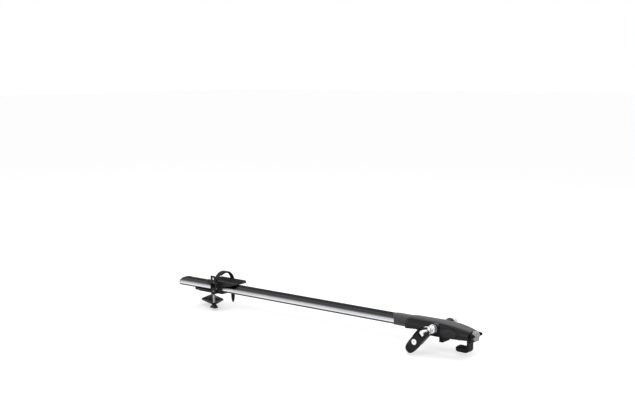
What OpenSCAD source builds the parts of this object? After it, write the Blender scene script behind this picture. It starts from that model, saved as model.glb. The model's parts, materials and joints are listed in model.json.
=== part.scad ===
// Roof mounted bike carrier with a fork clamping head, a long oval tray and a sliding wheel holder.
// Millimetres, +X forward, +Z up, origin on the seat for the front bar.

/* [Tray] */
// Width of the oval tray section
tray_w = 68; // [60:1:72]
// Height of the oval tray section
tray_h = 31; // [28:1:33]
// Wall of the tray extrusion
tray_wall = 2.4; // [1.8:0.1:3]
// Height of the tray's underside over the bar seats
tray_z = 5.5; // [5:0.1:7]
// Distance of the tray's rear end behind the front bar
tray_rear = 1226; // [1200:1:1300]
// Distance of the tray's front end behind the front bar
tray_front = 150; // [146:1:154]
// Width of the dark strip along the top
strip_w = 32; // [24:1:36]
// Thickness of the dark strip
strip_t = 2.2; // [1.6:0.1:2.6]
// Width of the slot mouth underneath
slot_mouth = 10.5; // [9:0.5:12]
// Width of the slot pocket underneath
slot_w = 19; // [17:0.5:21]
// Height of the slot pocket
slot_h = 5; // [4:0.25:6]
// Thickness of the rear end cap
cap_t = 4; // [3:0.5:6]
// Wall of the collar
collar_t = 2; // [1.5:0.1:2.5]
// Distance of the collar's rear point behind the origin
collar_rear = 257; // [250:1:270]

/* [Bars] */
// Width of the bar that the clamps are set for
bar_w = 80; // [70:1:84]
// Height of the bar that the clamps are set for
bar_h = 27; // [24:1:28]
// Distance between the two bars
bar_spacing = 1071; // [1064:1:1078]
// Distance of the front bar's middle behind the origin
bar_back = 16; // [15:0.25:17]
// Thickness of the rubber bar pads
pad_t = 2.5; // [2:0.1:3]

/* [Head] */
// Distance of the head's rear edge behind the origin
head_rear = 186; // [182:1:200]
// Distance of the head's nose edge before the origin
nose_x = 40; // [39:0.25:41]
// Half width of the head at its rear edge
head_half_rear = 39; // [38.5:0.25:41]
// Half width of the head at the nose edge
head_half_nose = 33; // [32.5:0.25:35]
// Height of the head's top at its rear edge
head_top_rear = 39.5; // [39.2:0.1:41]
// Height of the head's top over the skewer
head_top_mid = 39.8; // [39.4:0.1:41]
// Height of the head's top at the nose edge
head_top_nose = 24; // [23.5:0.25:25]
// Wall of the head shell
shell_t = 3.2; // [2.8:0.1:3.6]

/* [Front clamp] */
// Height of the knob's axis over the bar seat
knob_z = 11; // [10.5:0.25:12]
// Diameter of the knob
knob_d = 31; // [29:0.5:32]
// Length of the knob
knob_l = 13; // [11:0.5:14]
// Diameter of the jaw screw
screw_d = 8; // [7:0.5:9]
// Width of the jaw across the carrier
jaw_w = 30; // [28:1:34]

/* [Skewer] */
// Distance of the skewer behind the front bar
skewer_x = 73; // [72:0.5:75]
// Height of the skewer over the bar seat
skewer_z = 24; // [23.5:0.25:25]
// Width of the hub between the fork ends
hub_w = 100; // [98:0.5:101]
// Diameter of the skewer rod
rod_d = 9; // [8:0.25:9.5]
// Room for each fork end
fork_gap = 7; // [6:0.25:9]
// Length of the lever from its pin to its tip
lever_l = 92; // [86:1:93]
// Width of the lever's handle
lever_w = 37; // [36:0.5:39]
// Angle of the closed lever under the horizontal, towards the rear
lever_tilt = 48; // [45:0.5:50]

/* [Wheel holder] */
// Distance of the cradle's middle behind the front bar
cradle_back = 1012; // [1005:1:1020]
// Length of the cradle
cradle_l = 134; // [126:1:140]
// Height of the cradle's rims over the tray
cradle_h = 14; // [12:0.5:15]
// Distance of the band's middle behind the front bar
band_back = 1022; // [1020:0.5:1024]
// Width of the band along the tray
band_w = 38; // [34:0.5:40]
// Wall of the carriage beside the tray
carriage_t = 5.5; // [5:0.25:6]
// Running clearance round the tray
slide_gap = 0.4; // [0.3:0.05:0.5]
// Width of the wheel strap
strap_w = 20; // [17:0.5:21]
// Thickness of the wheel strap
strap_thick = 2.6; // [2.2:0.1:3]
// How much smaller the strap's arch is than its anchor's reach
arch_inset = 1.9; // [1.5:0.1:3]

/* [Rear clamp] */
// Diameter of the clamp stud
stud_d = 8; // [7:0.5:9]
// Distance of the clamp stud outside the carriage's side
stud_out = 4.1; // [3.5:0.1:6]
// Thickness of the rear jaw plate
rear_jaw_t = 6; // [5:0.25:7]
// Span of the rear knob's wings
wing_w = 28; // [24:0.5:32]
// Height of the lowest feet under the bar seats
foot_z = 50; // [49:0.25:52]

/* [Hidden] */
$fn = 48;
fit = 0.1;
press = 0.02;
run = 0.06;
gap = 0.3;
exponent = 2.3;
head_exponent = 2.7;
bar_x = -bar_back;
tray_mid = tray_z + tray_h / 2;
tray_top = tray_z + tray_h;
slot_lip = tray_wall;
slot_block_w = slot_w + 2 * tray_wall;
slot_block_h = slot_lip + slot_h + tray_wall;
screw_bore = screw_d / 2 + fit;
rod_r = rod_d / 2;
rod_bore = rod_r + fit;
hub_r = 12;
cup_r = 14;
cup_t = 3;
cup_out = 1.5;
cup_y = hub_w / 2;
collar_len = 29.5;
collar_y0 = cup_y + fork_gap;
collar_y1 = collar_y0 + collar_len;
cam_r = 8;
cam_shift = 3;
pin_y = collar_y1 + cam_r + cam_shift + 0.4;
pin_r = 3;
barrel_r = 7;
barrel_half = 16;
barrel_in = cam_r + 0.2;
cheek_in = barrel_r + 0.5;
cheek_out = cheek_in + 10.5;
lock_at = lever_l / 2;
lock_r = 9;
collar_in = 8;
collar_sweep = 0.84;
ear_l = 16;
head_half_ear = head_half_rear + 3.5;
head_top_ear = head_top_rear + 0.6;
spine_half = 17.6;
guide_in = 18.2;
guide_out = 24.2;
rail_in = guide_out + 0.4;
rail_out = 28;
rail_top = knob_z + 2;
seat_t = 2.1;
inlay_t = 1.5;
boss_x = -25;
boss_y = 36;
boss_z = pad_t + 7;
boss_half = 11;
boss_bore = 2;
block_rear = 112;
plug_l = 86;
bolt_head_r = 4.6;
bolt_head_t = 2.2;
bolt_grip = 12;
block_half = 30;
hook_half = 20;
hook_t = 13;
hook_low = -bar_h + 4;
bolt_bore = 3;
nut_r = 8;
cover_half = 28;
seam_x = nose_x - 21.5;
panel_x = nose_x - 64;
panel_z = 15;
panel_half = [28, 12.5];
inlay_gap = 0.25;
cross_t = 8;
cross_x = nose_x - cross_t;
knob_x = nose_x + 1.7;
nut_x = -18;
nut_t = 12;
screw_back = -62;
jaw_in = bar_x + bar_w / 2 + 1.2;
jaw_front = jaw_in + 6.3;
jaw_low = 44;
jaw_round = 12;
leg_in = nose_x + 1.2;
leg_out = knob_x + 4;
beam_top = -1;
beam_low = -9;
toe_x = bar_x + 2;
jaw_top = bar_h + pad_t + gap;
hook_in = bar_x - bar_w / 2 - 1.2;
post_low = -jaw_top - rear_jaw_t - 4;
rear_x = bar_x - bar_spacing;
cradle_x = -cradle_back;
band_x = -band_back;
stud_x = band_x - 12;
post_x = rear_x - bar_w / 2 - 9;
ear_r = 9;
carriage_w = tray_w / 2 + slide_gap + carriage_t;
split_z = tray_mid + 1;
stud_y = carriage_w + stud_out;
dowel_r = 1.3;
dowel_half = 8;
ear_h = 9;
end_lift = 11;
shoe_half = 20;
shoe_in = 8;
cradle_z = tray_top + slide_gap;
anchor_y = carriage_w + 6;
anchor_z = tray_top - 2.5;
strap_reach = 2 * anchor_y;
arch_r = anchor_y - arch_inset;
wrap_angle = 4;
strap_low = 10;
near_pt = [anchor_y - strap_reach * cos(wrap_angle), anchor_z + strap_reach * sin(wrap_angle)];
arch_c = near_pt + arch_r * [cos(wrap_angle), -sin(wrap_angle)];
anchor_pull = [anchor_y, anchor_z] - arch_c;
arch_end = atan2(anchor_pull[1], anchor_pull[0]) + acos(arch_r / norm(anchor_pull));
eye_r = 4.5;
tail_gap = 1.3;
trough_half = 27;
trough_floor_half = 11;
trough_floor = cradle_z + 4;
trough_top = cradle_z + cradle_h - 1;
pad_room = 1.5;
latch_eye = 4;
pawl_eye = 3;
knob_core = 7.5;
wing_half = 7;
anchor_pin_r = 2;
tooth = 0.8;
tooth_step = 2;
buckle_half = strap_w / 2 + 1;
buckle_wall = 2.5;
buckle_out = anchor_y - strap_reach - strap_thick / 2 - tooth - gap;
latch_pin_y = buckle_out - 6;
latch_pin_z = anchor_z + 12;
pawl_pin_z = anchor_z - 8;
latch_r = 1.5;

// Points of a superellipse
function oval(a, b, e = exponent, n = 64) = [
    for (i = [0 : n - 1])
        let (t = 360 * i / n, c = cos(t), s = sin(t))
            [a * sign(c) * pow(abs(c), 2 / e), b * sign(s) * pow(abs(s), 2 / e)]];

// Points of an arc about a centre
function arc(c, r, from, to, n) = [
    for (i = [0 : n]) let (t = from + (to - from) * i / n) c + r * [cos(t), sin(t)]];

// Smooth curve through a short table of places and values
function segment(x, t, i = 0) = i >= len(t) - 2 || x < t[i + 1][0] ? i : segment(x, t, i + 1);
function slope(t, i) = let (a = max(i - 1, 0), b = min(i + 1, len(t) - 1))
    (t[b][1] - t[a][1]) / (t[b][0] - t[a][0]);
function curve(x, t) = let (i = segment(x, t), h = t[i + 1][0] - t[i][0], u = (x - t[i][0]) / h)
    (1 + 2 * u) * (1 - u) * (1 - u) * t[i][1] + u * (1 - u) * (1 - u) * h * slope(t, i)
    + u * u * (3 - 2 * u) * t[i + 1][1] + u * u * (u - 1) * h * slope(t, i + 1);

// The head's half width and top height along its length
half_table = [[-head_rear, head_half_rear], [-head_rear + ear_l, head_half_ear],
    [-skewer_x, hub_w / 2 - cup_out], [-20, 46.5], [12, 41.5], [nose_x, head_half_nose]];
top_table = [[-head_rear, head_top_rear], [-head_rear + ear_l, head_top_ear], [-125, 40.3],
    [-skewer_x, head_top_mid], [-22, 36.8], [12, 31], [nose_x, head_top_nose]];

module along_x(from, to) translate([from, 0, 0]) rotate([90, 0, 90]) linear_extrude(to - from) children();
module across(from, to) translate([0, to, 0]) rotate([90, 0, 0]) linear_extrude(to - from) children();
module rod_x(r, from, to) translate([from, 0, 0]) rotate([0, 90, 0]) cylinder(r = r, h = to - from);
module rod_y(r, from, to) translate([0, from, 0]) rotate([-90, 0, 0]) cylinder(r = r, h = to - from);
module slab(x0, x1, y0, y1, z0, z1) translate([x0, y0, z0]) cube([x1 - x0, y1 - y0, z1 - z0]);
module sides() {
    children();
    mirror([0, 1, 0]) children();
}

// Dome shaped body along X with a flat underside, grown outwards by a given amount
module dome(grow, from, to, low, n = 28, m = 32) {
    rings = [for (i = [0 : n]) let (x = from + (to - from) * i / n,
            w = curve(x, half_table) + grow, h = curve(x, top_table) + grow - low)
        [for (j = [0 : m]) let (t = 180 * j / m, c = cos(t), s = sin(t))
            [x, w * sign(c) * pow(abs(c), 2 / head_exponent),
                low + h * pow(max(s, 0), 2 / head_exponent)]]];
    k = m + 1;
    polyhedron(
        points = [for (r = rings) each r],
        faces = [
            [for (j = [0 : m]) j],
            [for (j = [m : -1 : 0]) n * k + j],
            for (i = [0 : n - 1], j = [0 : m])
                let (a = i * k + j, b = i * k + (j + 1) % k)
                    each [[a, a + k, b], [b, a + k, b + k]]]);
}

module tray_outline(grow = 0) translate([0, tray_mid]) polygon(oval(tray_w / 2 + grow, tray_h / 2 + grow));

// Hollow cells of the tray, with room taken off all round
module tray_cells(room = 0) {
    floor_z = tray_z + slot_block_h + room;
    roof_z = tray_top - strip_t - tray_wall - room;
    difference() {
        tray_outline(-tray_wall - room);
        translate([-slot_block_w / 2 - room, tray_z]) square([slot_block_w + 2 * room, floor_z - tray_z]);
        translate([-strip_w / 2 - tray_wall - room, roof_z])
            square([strip_w + 2 * (tray_wall + room), tray_h]);
    }
}

tray_bolt_x = [-tray_front - plug_l + 16, -tray_front - 16];

module tray_extrusion() color("silver")
    difference() {
        along_x(-tray_rear, -tray_front) difference() {
            tray_outline();
            tray_cells();
            translate([-strip_w / 2, tray_top - strip_t]) square([strip_w, tray_h]);
            translate([-slot_mouth / 2, tray_z - 1]) square([slot_mouth, slot_lip + 2]);
            translate([-slot_w / 2, tray_z + slot_lip]) square([slot_w, slot_h]);
        }
        for (x = tray_bolt_x) translate([x, 0, tray_z + slot_lip]) cylinder(r = bolt_bore, h = slot_block_h);
    }

module tray_top_strip() color("dimgray")
    along_x(-tray_rear, -tray_front) intersection() {
        tray_outline();
        translate([-strip_w / 2 + fit, tray_top - strip_t]) square([strip_w - 2 * fit, tray_h]);
    }

module tray_end_cap() color("dimgray") {
    along_x(-tray_rear - cap_t, -tray_rear) tray_outline(0.4);
    along_x(-tray_rear - 1, -tray_rear + 16) tray_cells(0.15);
}

module tray_collar() color("dimgray")
    intersection() {
        along_x(-collar_rear, -head_rear + collar_in) difference() {
            tray_outline(collar_t);
            tray_outline(fit);
        }
        linear_extrude(4 * tray_h, center = true) polygon([
            [-collar_rear, 0], [-collar_rear + collar_sweep * tray_w, tray_w],
            [-head_rear + collar_in + 1, tray_w], [-head_rear + collar_in + 1, -tray_w],
            [-collar_rear + collar_sweep * tray_w, -tray_w]]);
    }

module tray_nut_bar() color("silver")
    difference() {
        slab(tray_bolt_x[0] - 12, tray_bolt_x[1] + 12, -slot_w / 2 + fit, slot_w / 2 - fit,
            tray_z + slot_lip + gap, tray_z + slot_lip + slot_h);
        for (x = tray_bolt_x) translate([x, 0, 0]) cylinder(r = bolt_bore, h = 2 * tray_top);
    }

module tray_bolt(x) color("gray")
    translate([x, 0, tray_z + slot_lip + gap - bolt_head_t]) {
        cylinder(r = bolt_head_r, h = bolt_head_t);
        cylinder(r = bolt_bore - fit, h = bolt_head_t + slot_h + bolt_grip);
    }
module tray_bolt_front() tray_bolt(tray_bolt_x[1]);
module tray_bolt_rear() tray_bolt(tray_bolt_x[0]);

// Casting that carries the tray, the hub, the bar seat and the jaw's guides
module head_base() color("dimgray")
    difference() {
        union() {
            along_x(-tray_front - plug_l, -block_rear + 1) tray_cells(gap);
            slab(-block_rear, hook_in, -block_half, block_half, pad_t, tray_mid + 6);
            slab(hook_in - hook_t, cross_x - gap, -rail_out, rail_out, pad_t, pad_t + seat_t);
            slab(hook_in - hook_t, nut_x + 22, -spine_half, spine_half, pad_t, knob_z + nut_r + 1);
            sides() slab(hook_in - hook_t, cross_x - gap, rail_in, rail_out, pad_t, rail_top);
            sides() slab(boss_x - boss_half, boss_x + boss_half, rail_in, boss_y + 5, pad_t + 2, boss_z);
            slab(hook_in - hook_t, hook_in - pad_t, -hook_half, hook_half, hook_low, pad_t + 1);
            translate([-skewer_x, 0, skewer_z]) rod_y(hub_r, -cup_y + cup_t, cup_y - cup_t);
        }
        translate([-skewer_x, 0, skewer_z]) rod_y(rod_bore, -cup_y, cup_y);
        translate([0, 0, knob_z]) rod_x(screw_bore + 0.3, screw_back - 4, 10);
        translate([nut_x, 0, knob_z]) rotate([0, 90, 0]) cylinder(r = nut_r, h = nut_t, $fn = 6);
        slab(nut_x, nut_x + nut_t, -nut_r * cos(30), nut_r * cos(30), knob_z, 2 * head_top_mid);
        for (x = tray_bolt_x)
            translate([x, 0, tray_z]) cylinder(r = bolt_bore, h = slot_block_h + bolt_grip);
        sides() translate([boss_x, boss_y, 0]) cylinder(r = boss_bore, h = tray_top);
    }

// Underside of the shell behind the bar, plan of the top cover, and side outline of the oval panels
waist = [[-head_rear - 1, 6.6], [-170, 8.4], [-155, 10], [-140, 11], [-126, 10.4], [-116, 7.6],
    [-106, 3.8], [-97, 0.4]];
cover_edge = [[-head_rear - 5, cover_half], [seam_x - 52, cover_half],
    [seam_x - 35, cover_half + 3], [seam_x - 18.5, cover_half + 6], [seam_x - 7, cover_half + 10.8],
    [seam_x, hub_w / 2], [nose_x + 5, hub_w / 2]];
module cover_plan(grow) linear_extrude(2 * tray_top) polygon(concat(
    [for (p = cover_edge) [p[0], -p[1] - grow]],
    [for (i = [len(cover_edge) - 1 : -1 : 0]) [cover_edge[i][0], cover_edge[i][1] + grow]]));
module panel_side(grow) across(cover_half + 6, hub_w * 0.7) translate([panel_x, panel_z])
    polygon(oval(panel_half[0] + grow, panel_half[1] + grow, exponent, 40));

module head_shell() color("black")
    difference() {
        dome(0, -head_rear, nose_x, 0.8);
        difference() {
            dome(-shell_t, -head_rear + shell_t, nose_x + 2, -6);
            sides() translate([boss_x, boss_y, boss_z]) cylinder(r = 5, h = tray_top, $fn = 24);
        }
        difference() {
            union() {
                cover_plan(inlay_gap);
                sides() panel_side(inlay_gap);
            }
            dome(-inlay_t - fit, -head_rear, nose_x, -6);
        }
        across(-hub_w, hub_w) polygon(concat([[-97, -1], [-head_rear - 1, -1]], waist));
        along_x(-head_rear - 1, -head_rear + collar_in + 2) tray_outline(collar_t + 0.2);
        along_x(-head_rear, -tray_front + 1) tray_outline(gap);
        translate([-skewer_x, 0, skewer_z]) rod_y(hub_r + 0.2, -hub_w, hub_w);
        sides() translate([-skewer_x, 0, skewer_z]) rod_y(cup_r + 0.2, cup_y - cup_t - 1, hub_w);
        sides() translate([boss_x, boss_y, 0]) cylinder(r = boss_bore - fit, h = 20, $fn = 24);
    }

module head_top_cover() color([0.24, 0.24, 0.25])
    difference() {
        intersection() {
            dome(0.8, -head_rear, nose_x, 0.8);
            cover_plan(0);
        }
        dome(-inlay_t, -head_rear, nose_x, -6);
        along_x(-head_rear - 1, -head_rear + collar_in + 2) tray_outline(collar_t + 0.2);
        along_x(-head_rear, -tray_front + 1) tray_outline(gap);
        translate([-skewer_x, 0, skewer_z]) rod_y(hub_r + 0.2, -hub_w, hub_w);
    }

module side_panel_far() color([0.2, 0.2, 0.21])
    difference() {
        intersection() {
            dome(0.6, -head_rear, nose_x, 0.8);
            panel_side(0);
        }
        dome(-inlay_t, -head_rear, nose_x, -6);
    }
module side_panel_near() mirror([0, 1, 0]) side_panel_far();

module front_bar_pad() color([0.15, 0.15, 0.15])
    slab(hook_in, bar_x + bar_w / 2, -rail_out, rail_out, 0, pad_t);

module hook_pad() color([0.15, 0.15, 0.15])
    slab(hook_in - pad_t, hook_in, -hook_half, hook_half, hook_low, 0);

module jaw_screw_nut() color("silver")
    translate([nut_x, 0, knob_z]) rotate([0, 90, 0]) difference() {
        cylinder(r = nut_r - fit, h = nut_t, $fn = 6);
        translate([0, 0, -1]) cylinder(r = screw_bore, h = nut_t + 2);
    }

module shell_screw_far() color("gray")
    translate([boss_x, boss_y, 0]) {
        translate([0, 0, pad_t - 0.2]) cylinder(r = 3.6, h = 2.2);
        translate([0, 0, pad_t]) cylinder(r = boss_bore - 2 * fit, h = 16);
    }
module shell_screw_near() mirror([0, 1, 0]) shell_screw_far();

module dropout_cup_far() color("silver")
    translate([-skewer_x, 0, skewer_z]) difference() {
        rod_y(cup_r, cup_y - cup_t, cup_y);
        rod_y(rod_bore, 0, hub_w);
        for (a = [0 : 30 : 330]) rotate([0, a, 0]) slab(8, cup_r + 1, cup_y - 0.6, cup_y + 1, -0.5, 0.5);
    }
module dropout_cup_near() mirror([0, 1, 0]) dropout_cup_far();

module skewer_rod() color("silver")
    translate([-skewer_x, 0, skewer_z]) rod_y(rod_r, -collar_y1 - 3, cup_y + fork_gap + 22);

module skewer_barrel() color("silver")
    translate([-skewer_x, -pin_y, skewer_z]) difference() {
        rod_y(barrel_r, -barrel_half, barrel_in);
        rod_y(rod_r + press, pin_y - collar_y1 - 3, barrel_half + 1);
        lever_frame() rotate([90, 0, 0]) cylinder(r = pin_r + run, h = 40, center = true);
    }

// Lever's own frame: X along the handle, Y along the pin, Z outwards
module lever_frame() rotate([0, 180 - lever_tilt, 0]) rotate([90, 0, 0]) children();
module at_lever() translate([-skewer_x, -pin_y, skewer_z]) lever_frame() children();

module skewer_lever() color("black")
    at_lever() difference() {
        union() {
            sides() across(cheek_in, cheek_out) {
                translate([0, -cam_shift]) circle(r = cam_r);
                polygon([[0, -8], [30, -6], [30, 8], [6, 9], [-4, 4]]);
            }
            translate([0, 0, -5]) linear_extrude(13) hull() {
                translate([22, 0]) square([6, 2 * cheek_out], center = true);
                translate([lever_l / 2, 0]) square([10, lever_w], center = true);
                translate([lever_l - lever_w * 0.45, 0]) circle(r = lever_w * 0.45);
            }
        }
        rotate([90, 0, 0]) cylinder(r = pin_r, h = 60, center = true);
        translate([lock_at, 0, 0]) cylinder(r = lock_r + 2.5, h = 30);
        slab(lever_l * 0.66, lever_l - 9, -lever_w * 0.28, lever_w * 0.28, 6, 12);
    }

module lever_pin() color("silver")
    at_lever() rotate([90, 0, 0]) cylinder(r = pin_r - press, h = 2 * cheek_out, center = true);

module lock_body() color([0.2, 0.2, 0.2])
    at_lever() translate([lock_at, 0, 0]) difference() {
        cylinder(r = lock_r + 2.4, h = 9);
        translate([0, 0, 1]) cylinder(r = lock_r + fit, h = 20);
    }

module lock_plug() color("silver")
    at_lever() translate([lock_at, 0, 1]) difference() {
        cylinder(r = lock_r, h = 8.6);
        slab(-3.2, 3.2, -0.6, 0.6, 4, 12);
    }

module clamp_collar() color("silver")
    translate([-skewer_x, 0, skewer_z]) difference() {
        union() {
            rod_y(9, -collar_y1, -collar_y0);
            rod_y(12.5, -collar_y0 - 4, -collar_y0);
            rod_y(14, -collar_y1, -collar_y1 + 5);
        }
        rod_y(rod_bore, -2 * collar_y1, 0);
    }

module skewer_nut() color("silver")
    translate([-skewer_x, 0, skewer_z]) difference() {
        union() {
            rod_y(12.5, collar_y0, collar_y0 + 4);
            rod_y(11, collar_y0, collar_y0 + 16);
        }
        rod_y(rod_bore, 0, 2 * collar_y0);
        for (a = [0 : 30 : 330])
            rotate([0, a, 0]) translate([11.6, 0, 0]) rod_y(1.4, collar_y0 + 5, collar_y0 + 30);
    }

// Side view of the hook under the bar
module hook_profile() polygon(concat(
    [[jaw_in, beam_top], [leg_out, beam_top], [leg_out, beam_low + 2], [jaw_front + 6, beam_low - 2],
        [jaw_front + 1.6, beam_low - 5], [jaw_front, beam_low - 9]],
    [for (t = [0 : 10 : 90]) [jaw_front - jaw_round * (1 - cos(t)), -jaw_low + jaw_round * (1 - sin(t))]],
    [for (t = [90 : 15 : 180]) [toe_x + 8 + 8 * cos(t), -jaw_low + 9 - 9 * sin(t)]],
    [[toe_x, -jaw_top], [jaw_in, -jaw_top]]));

module front_jaw() color("black")
    difference() {
        union() {
            across(-jaw_w / 2, jaw_w / 2) hook_profile();
            slab(leg_in - 4, leg_out, -guide_out, guide_out, beam_low, beam_top);
            slab(cross_x, cross_x + cross_t, -guide_out, guide_out, pad_t, rail_top);
            slab(cross_x, cross_x + cross_t, -15, 15, pad_t, knob_z + 8);
            sides() slab(-30, cross_x + 1, guide_in, guide_out, pad_t + 2.4, rail_top);
            sides() across(guide_in, guide_out) polygon([
                [cross_x + 1, rail_top], [nose_x + 0.6, rail_top], [leg_in, knob_z + 9.5],
                [knob_x + 8, knob_z + 9], [knob_x + knob_l + 1.8, knob_z + 7],
                [knob_x + knob_l + 4, knob_z + 3.5], [knob_x + knob_l + 1.4, knob_z - 0.5],
                [leg_out, knob_z - 5.8], [leg_out, beam_low + 1], [leg_in, beam_low + 1], [leg_in, pad_t],
                [cross_x + 1, pad_t]]);
        }
        translate([0, 0, knob_z]) rod_x(screw_bore + 0.2, cross_x - 5, knob_x + 30);
        translate([0, 0, knob_z]) rod_x(knob_d / 2 + 0.6, knob_x - 0.4, knob_x + 30);
    }

module front_jaw_pad() color([0.15, 0.15, 0.15])
    difference() {
        slab(toe_x + 2, jaw_in - 1, -jaw_w / 2 + 3, jaw_w / 2 - 3, -jaw_top, -bar_h - gap);
        translate([0, 0, -jaw_top + 1.2])
            for (x = [toe_x + 7 : 8 : jaw_in - 4]) slab(x, x + 2, -jaw_w, jaw_w, 0, pad_t);
    }

module jaw_knob() color("gainsboro")
    translate([0, 0, knob_z]) difference() {
        union() {
            rod_x(knob_d / 2, knob_x, knob_x + knob_l);
            rod_x(8, cross_x + cross_t + 0.2, knob_x + 1);
        }
        rod_x(screw_d / 2 + press, cross_x, knob_x + knob_l - 4);
        for (a = [0 : 30 : 330])
            rotate([a, 0, 0]) translate([knob_x - 1, 0, knob_d / 2 + 1.6]) rod_x(2.4, 0, knob_l + 2);
        sides() slab(knob_x + knob_l - 5, knob_x + knob_l + 1, 3, 10, -9, 9);
    }

module jaw_screw() color("silver")
    translate([0, 0, knob_z]) rod_x(screw_d / 2, screw_back, knob_x + knob_l - 4);

// Sleeve section round the tray, with a flat seat over the bar
module carriage_section() difference() {
    union() {
        tray_outline(slide_gap + carriage_t);
        translate([-carriage_w + 8, pad_t]) square([2 * carriage_w - 16, tray_mid]);
    }
    tray_outline(slide_gap);
    translate([-tray_w, pad_t - tray_h]) square([2 * tray_w, tray_h]);
}

module at_dowel() translate([band_x, carriage_w - carriage_t / 2, split_z - dowel_half]) children();

module carriage_saddle() color([0.2, 0.2, 0.21])
    difference() {
        union() {
            intersection() {
                along_x(post_x - 8, band_x + band_w / 2) carriage_section();
                slab(-2 * tray_rear, 0, -tray_w, tray_w, 0, split_z);
                union() {
                    slab(band_x - band_w / 2, band_x + band_w / 2, -tray_w, tray_w, 0, tray_top);
                    slab(-2 * tray_rear, 0, -tray_w, tray_w, 0, tray_z + 5);
                }
            }
            translate([stud_x, -stud_y, pad_t]) cylinder(r = ear_r, h = ear_h);
            slab(stud_x - ear_r, stud_x + ear_r, -stud_y, -carriage_w + 6, pad_t, pad_t + ear_h);
            translate([post_x, stud_y, pad_t]) cylinder(r = ear_r, h = ear_h + 3);
            slab(post_x - 8, post_x + ear_r, carriage_w - 9, stud_y, pad_t, pad_t + ear_h);
        }
        translate([stud_x, -stud_y, 0]) cylinder(r = stud_d / 2 + press, h = tray_top);
        translate([post_x, stud_y, 0]) cylinder(r = stud_d / 2 + run, h = tray_top);
        sides() at_dowel() cylinder(r = dowel_r, h = 2 * dowel_half);
    }

module rear_bar_pad() color([0.15, 0.15, 0.15])
    slab(rear_x - bar_w / 2, rear_x + bar_w / 2, -carriage_w + 10, carriage_w - 10, 0, pad_t);

module clamp_stud() color("silver")
    translate([stud_x, -stud_y, 1 - foot_z]) cylinder(r = stud_d / 2, h = foot_z + pad_t + end_lift);

// Side view of the cradle, narrow at the band and long at its rims
module cradle_profile() polygon([
    [cradle_x - cradle_l / 2, cradle_z + 2], [band_x - band_w / 2 - 6, cradle_z - 5],
    [band_x - band_w / 2, split_z + gap], [band_x + band_w / 2, split_z + gap],
    [band_x + band_w / 2 + 6, cradle_z - 6], [cradle_x + cradle_l / 2 - 14, cradle_z + 1],
    [cradle_x + cradle_l / 2, cradle_z + 4], [cradle_x + cradle_l / 2 - 6, cradle_z + cradle_h],
    [cradle_x - cradle_l / 2 + 4, cradle_z + cradle_h]]);

module trough(room) polygon([
    [-trough_half - room, trough_top + 6], [-trough_half - room, trough_top],
    [-trough_floor_half - room, trough_floor - room], [trough_floor_half + room, trough_floor - room],
    [trough_half + room, trough_top], [trough_half + room, trough_top + 6]]);

module wheel_cradle() color("black")
    difference() {
        intersection() {
            along_x(cradle_x - cradle_l, cradle_x + cradle_l) difference() {
                polygon([[-carriage_w, tray_mid], [-carriage_w, cradle_z + 4],
                    [-carriage_w + 3, cradle_z + cradle_h], [carriage_w - 3, cradle_z + cradle_h],
                    [carriage_w, cradle_z + 4], [carriage_w, tray_mid]]);
                tray_outline(slide_gap);
                trough(pad_room + fit);
            }
            across(-2 * tray_w, 2 * tray_w) cradle_profile();
        }
        sides() at_dowel() cylinder(r = dowel_r, h = 2 * dowel_half);
    }

module cradle_pad() color([0.15, 0.15, 0.15])
    along_x(cradle_x - cradle_l / 2 + 10, cradle_x + cradle_l / 2 - 10) difference() {
        trough(pad_room);
        trough(0);
        translate([-tray_w, trough_top]) square([2 * tray_w, 20]);
    }

module carriage_pin_far() color("gray")
    at_dowel() cylinder(r = dowel_r - press, h = 2 * dowel_half);
module carriage_pin_near() mirror([0, 1, 0]) carriage_pin_far();

// Bracket of the strap on the far side of the cradle
module strap_anchor() color("black")
    difference() {
        union() {
            slab(band_x - buckle_half - buckle_wall, band_x + buckle_half + buckle_wall,
                carriage_w + 0.05, carriage_w + 1.2, split_z + 2, anchor_z + 3);
            for (x = [band_x - buckle_half - buckle_wall, band_x + buckle_half])
                slab(x, x + buckle_wall, carriage_w + 0.05, anchor_y + eye_r, anchor_z - 5, anchor_z + 5);
        }
        translate([0, anchor_y, anchor_z]) rod_x(anchor_pin_r, -2 * tray_rear, 0);
    }

module strap_pin() color("silver")
    translate([0, anchor_y, anchor_z])
        rod_x(anchor_pin_r - press, band_x - buckle_half - buckle_wall, band_x + buckle_half + buckle_wall);

module strap_tail() color("black")
    across(carriage_w + tail_gap, carriage_w + tail_gap + strap_thick) polygon([
        [band_x - strap_w / 2 + 1, anchor_z - 8], [band_x - strap_w / 2 + 1, -30], [band_x, -41],
        [band_x + strap_w / 2 - 1, -30], [band_x + strap_w / 2 - 1, anchor_z - 8]]);

// Middle line of the strap from its eye over the arch to its free end
strap_line = concat([[anchor_y, anchor_z]],
    arc(arch_c, arch_r, arch_end, 180 - wrap_angle, 36),
    arc([anchor_y, anchor_z], strap_reach, 180 - wrap_angle + 0.5, 180 + strap_low, 18));

function strap_normal(i) = let (a = max(i - 1, 0), b = min(i + 1, len(strap_line) - 1),
    d = strap_line[b] - strap_line[a]) [d[1], -d[0]] / norm(d);

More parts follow.
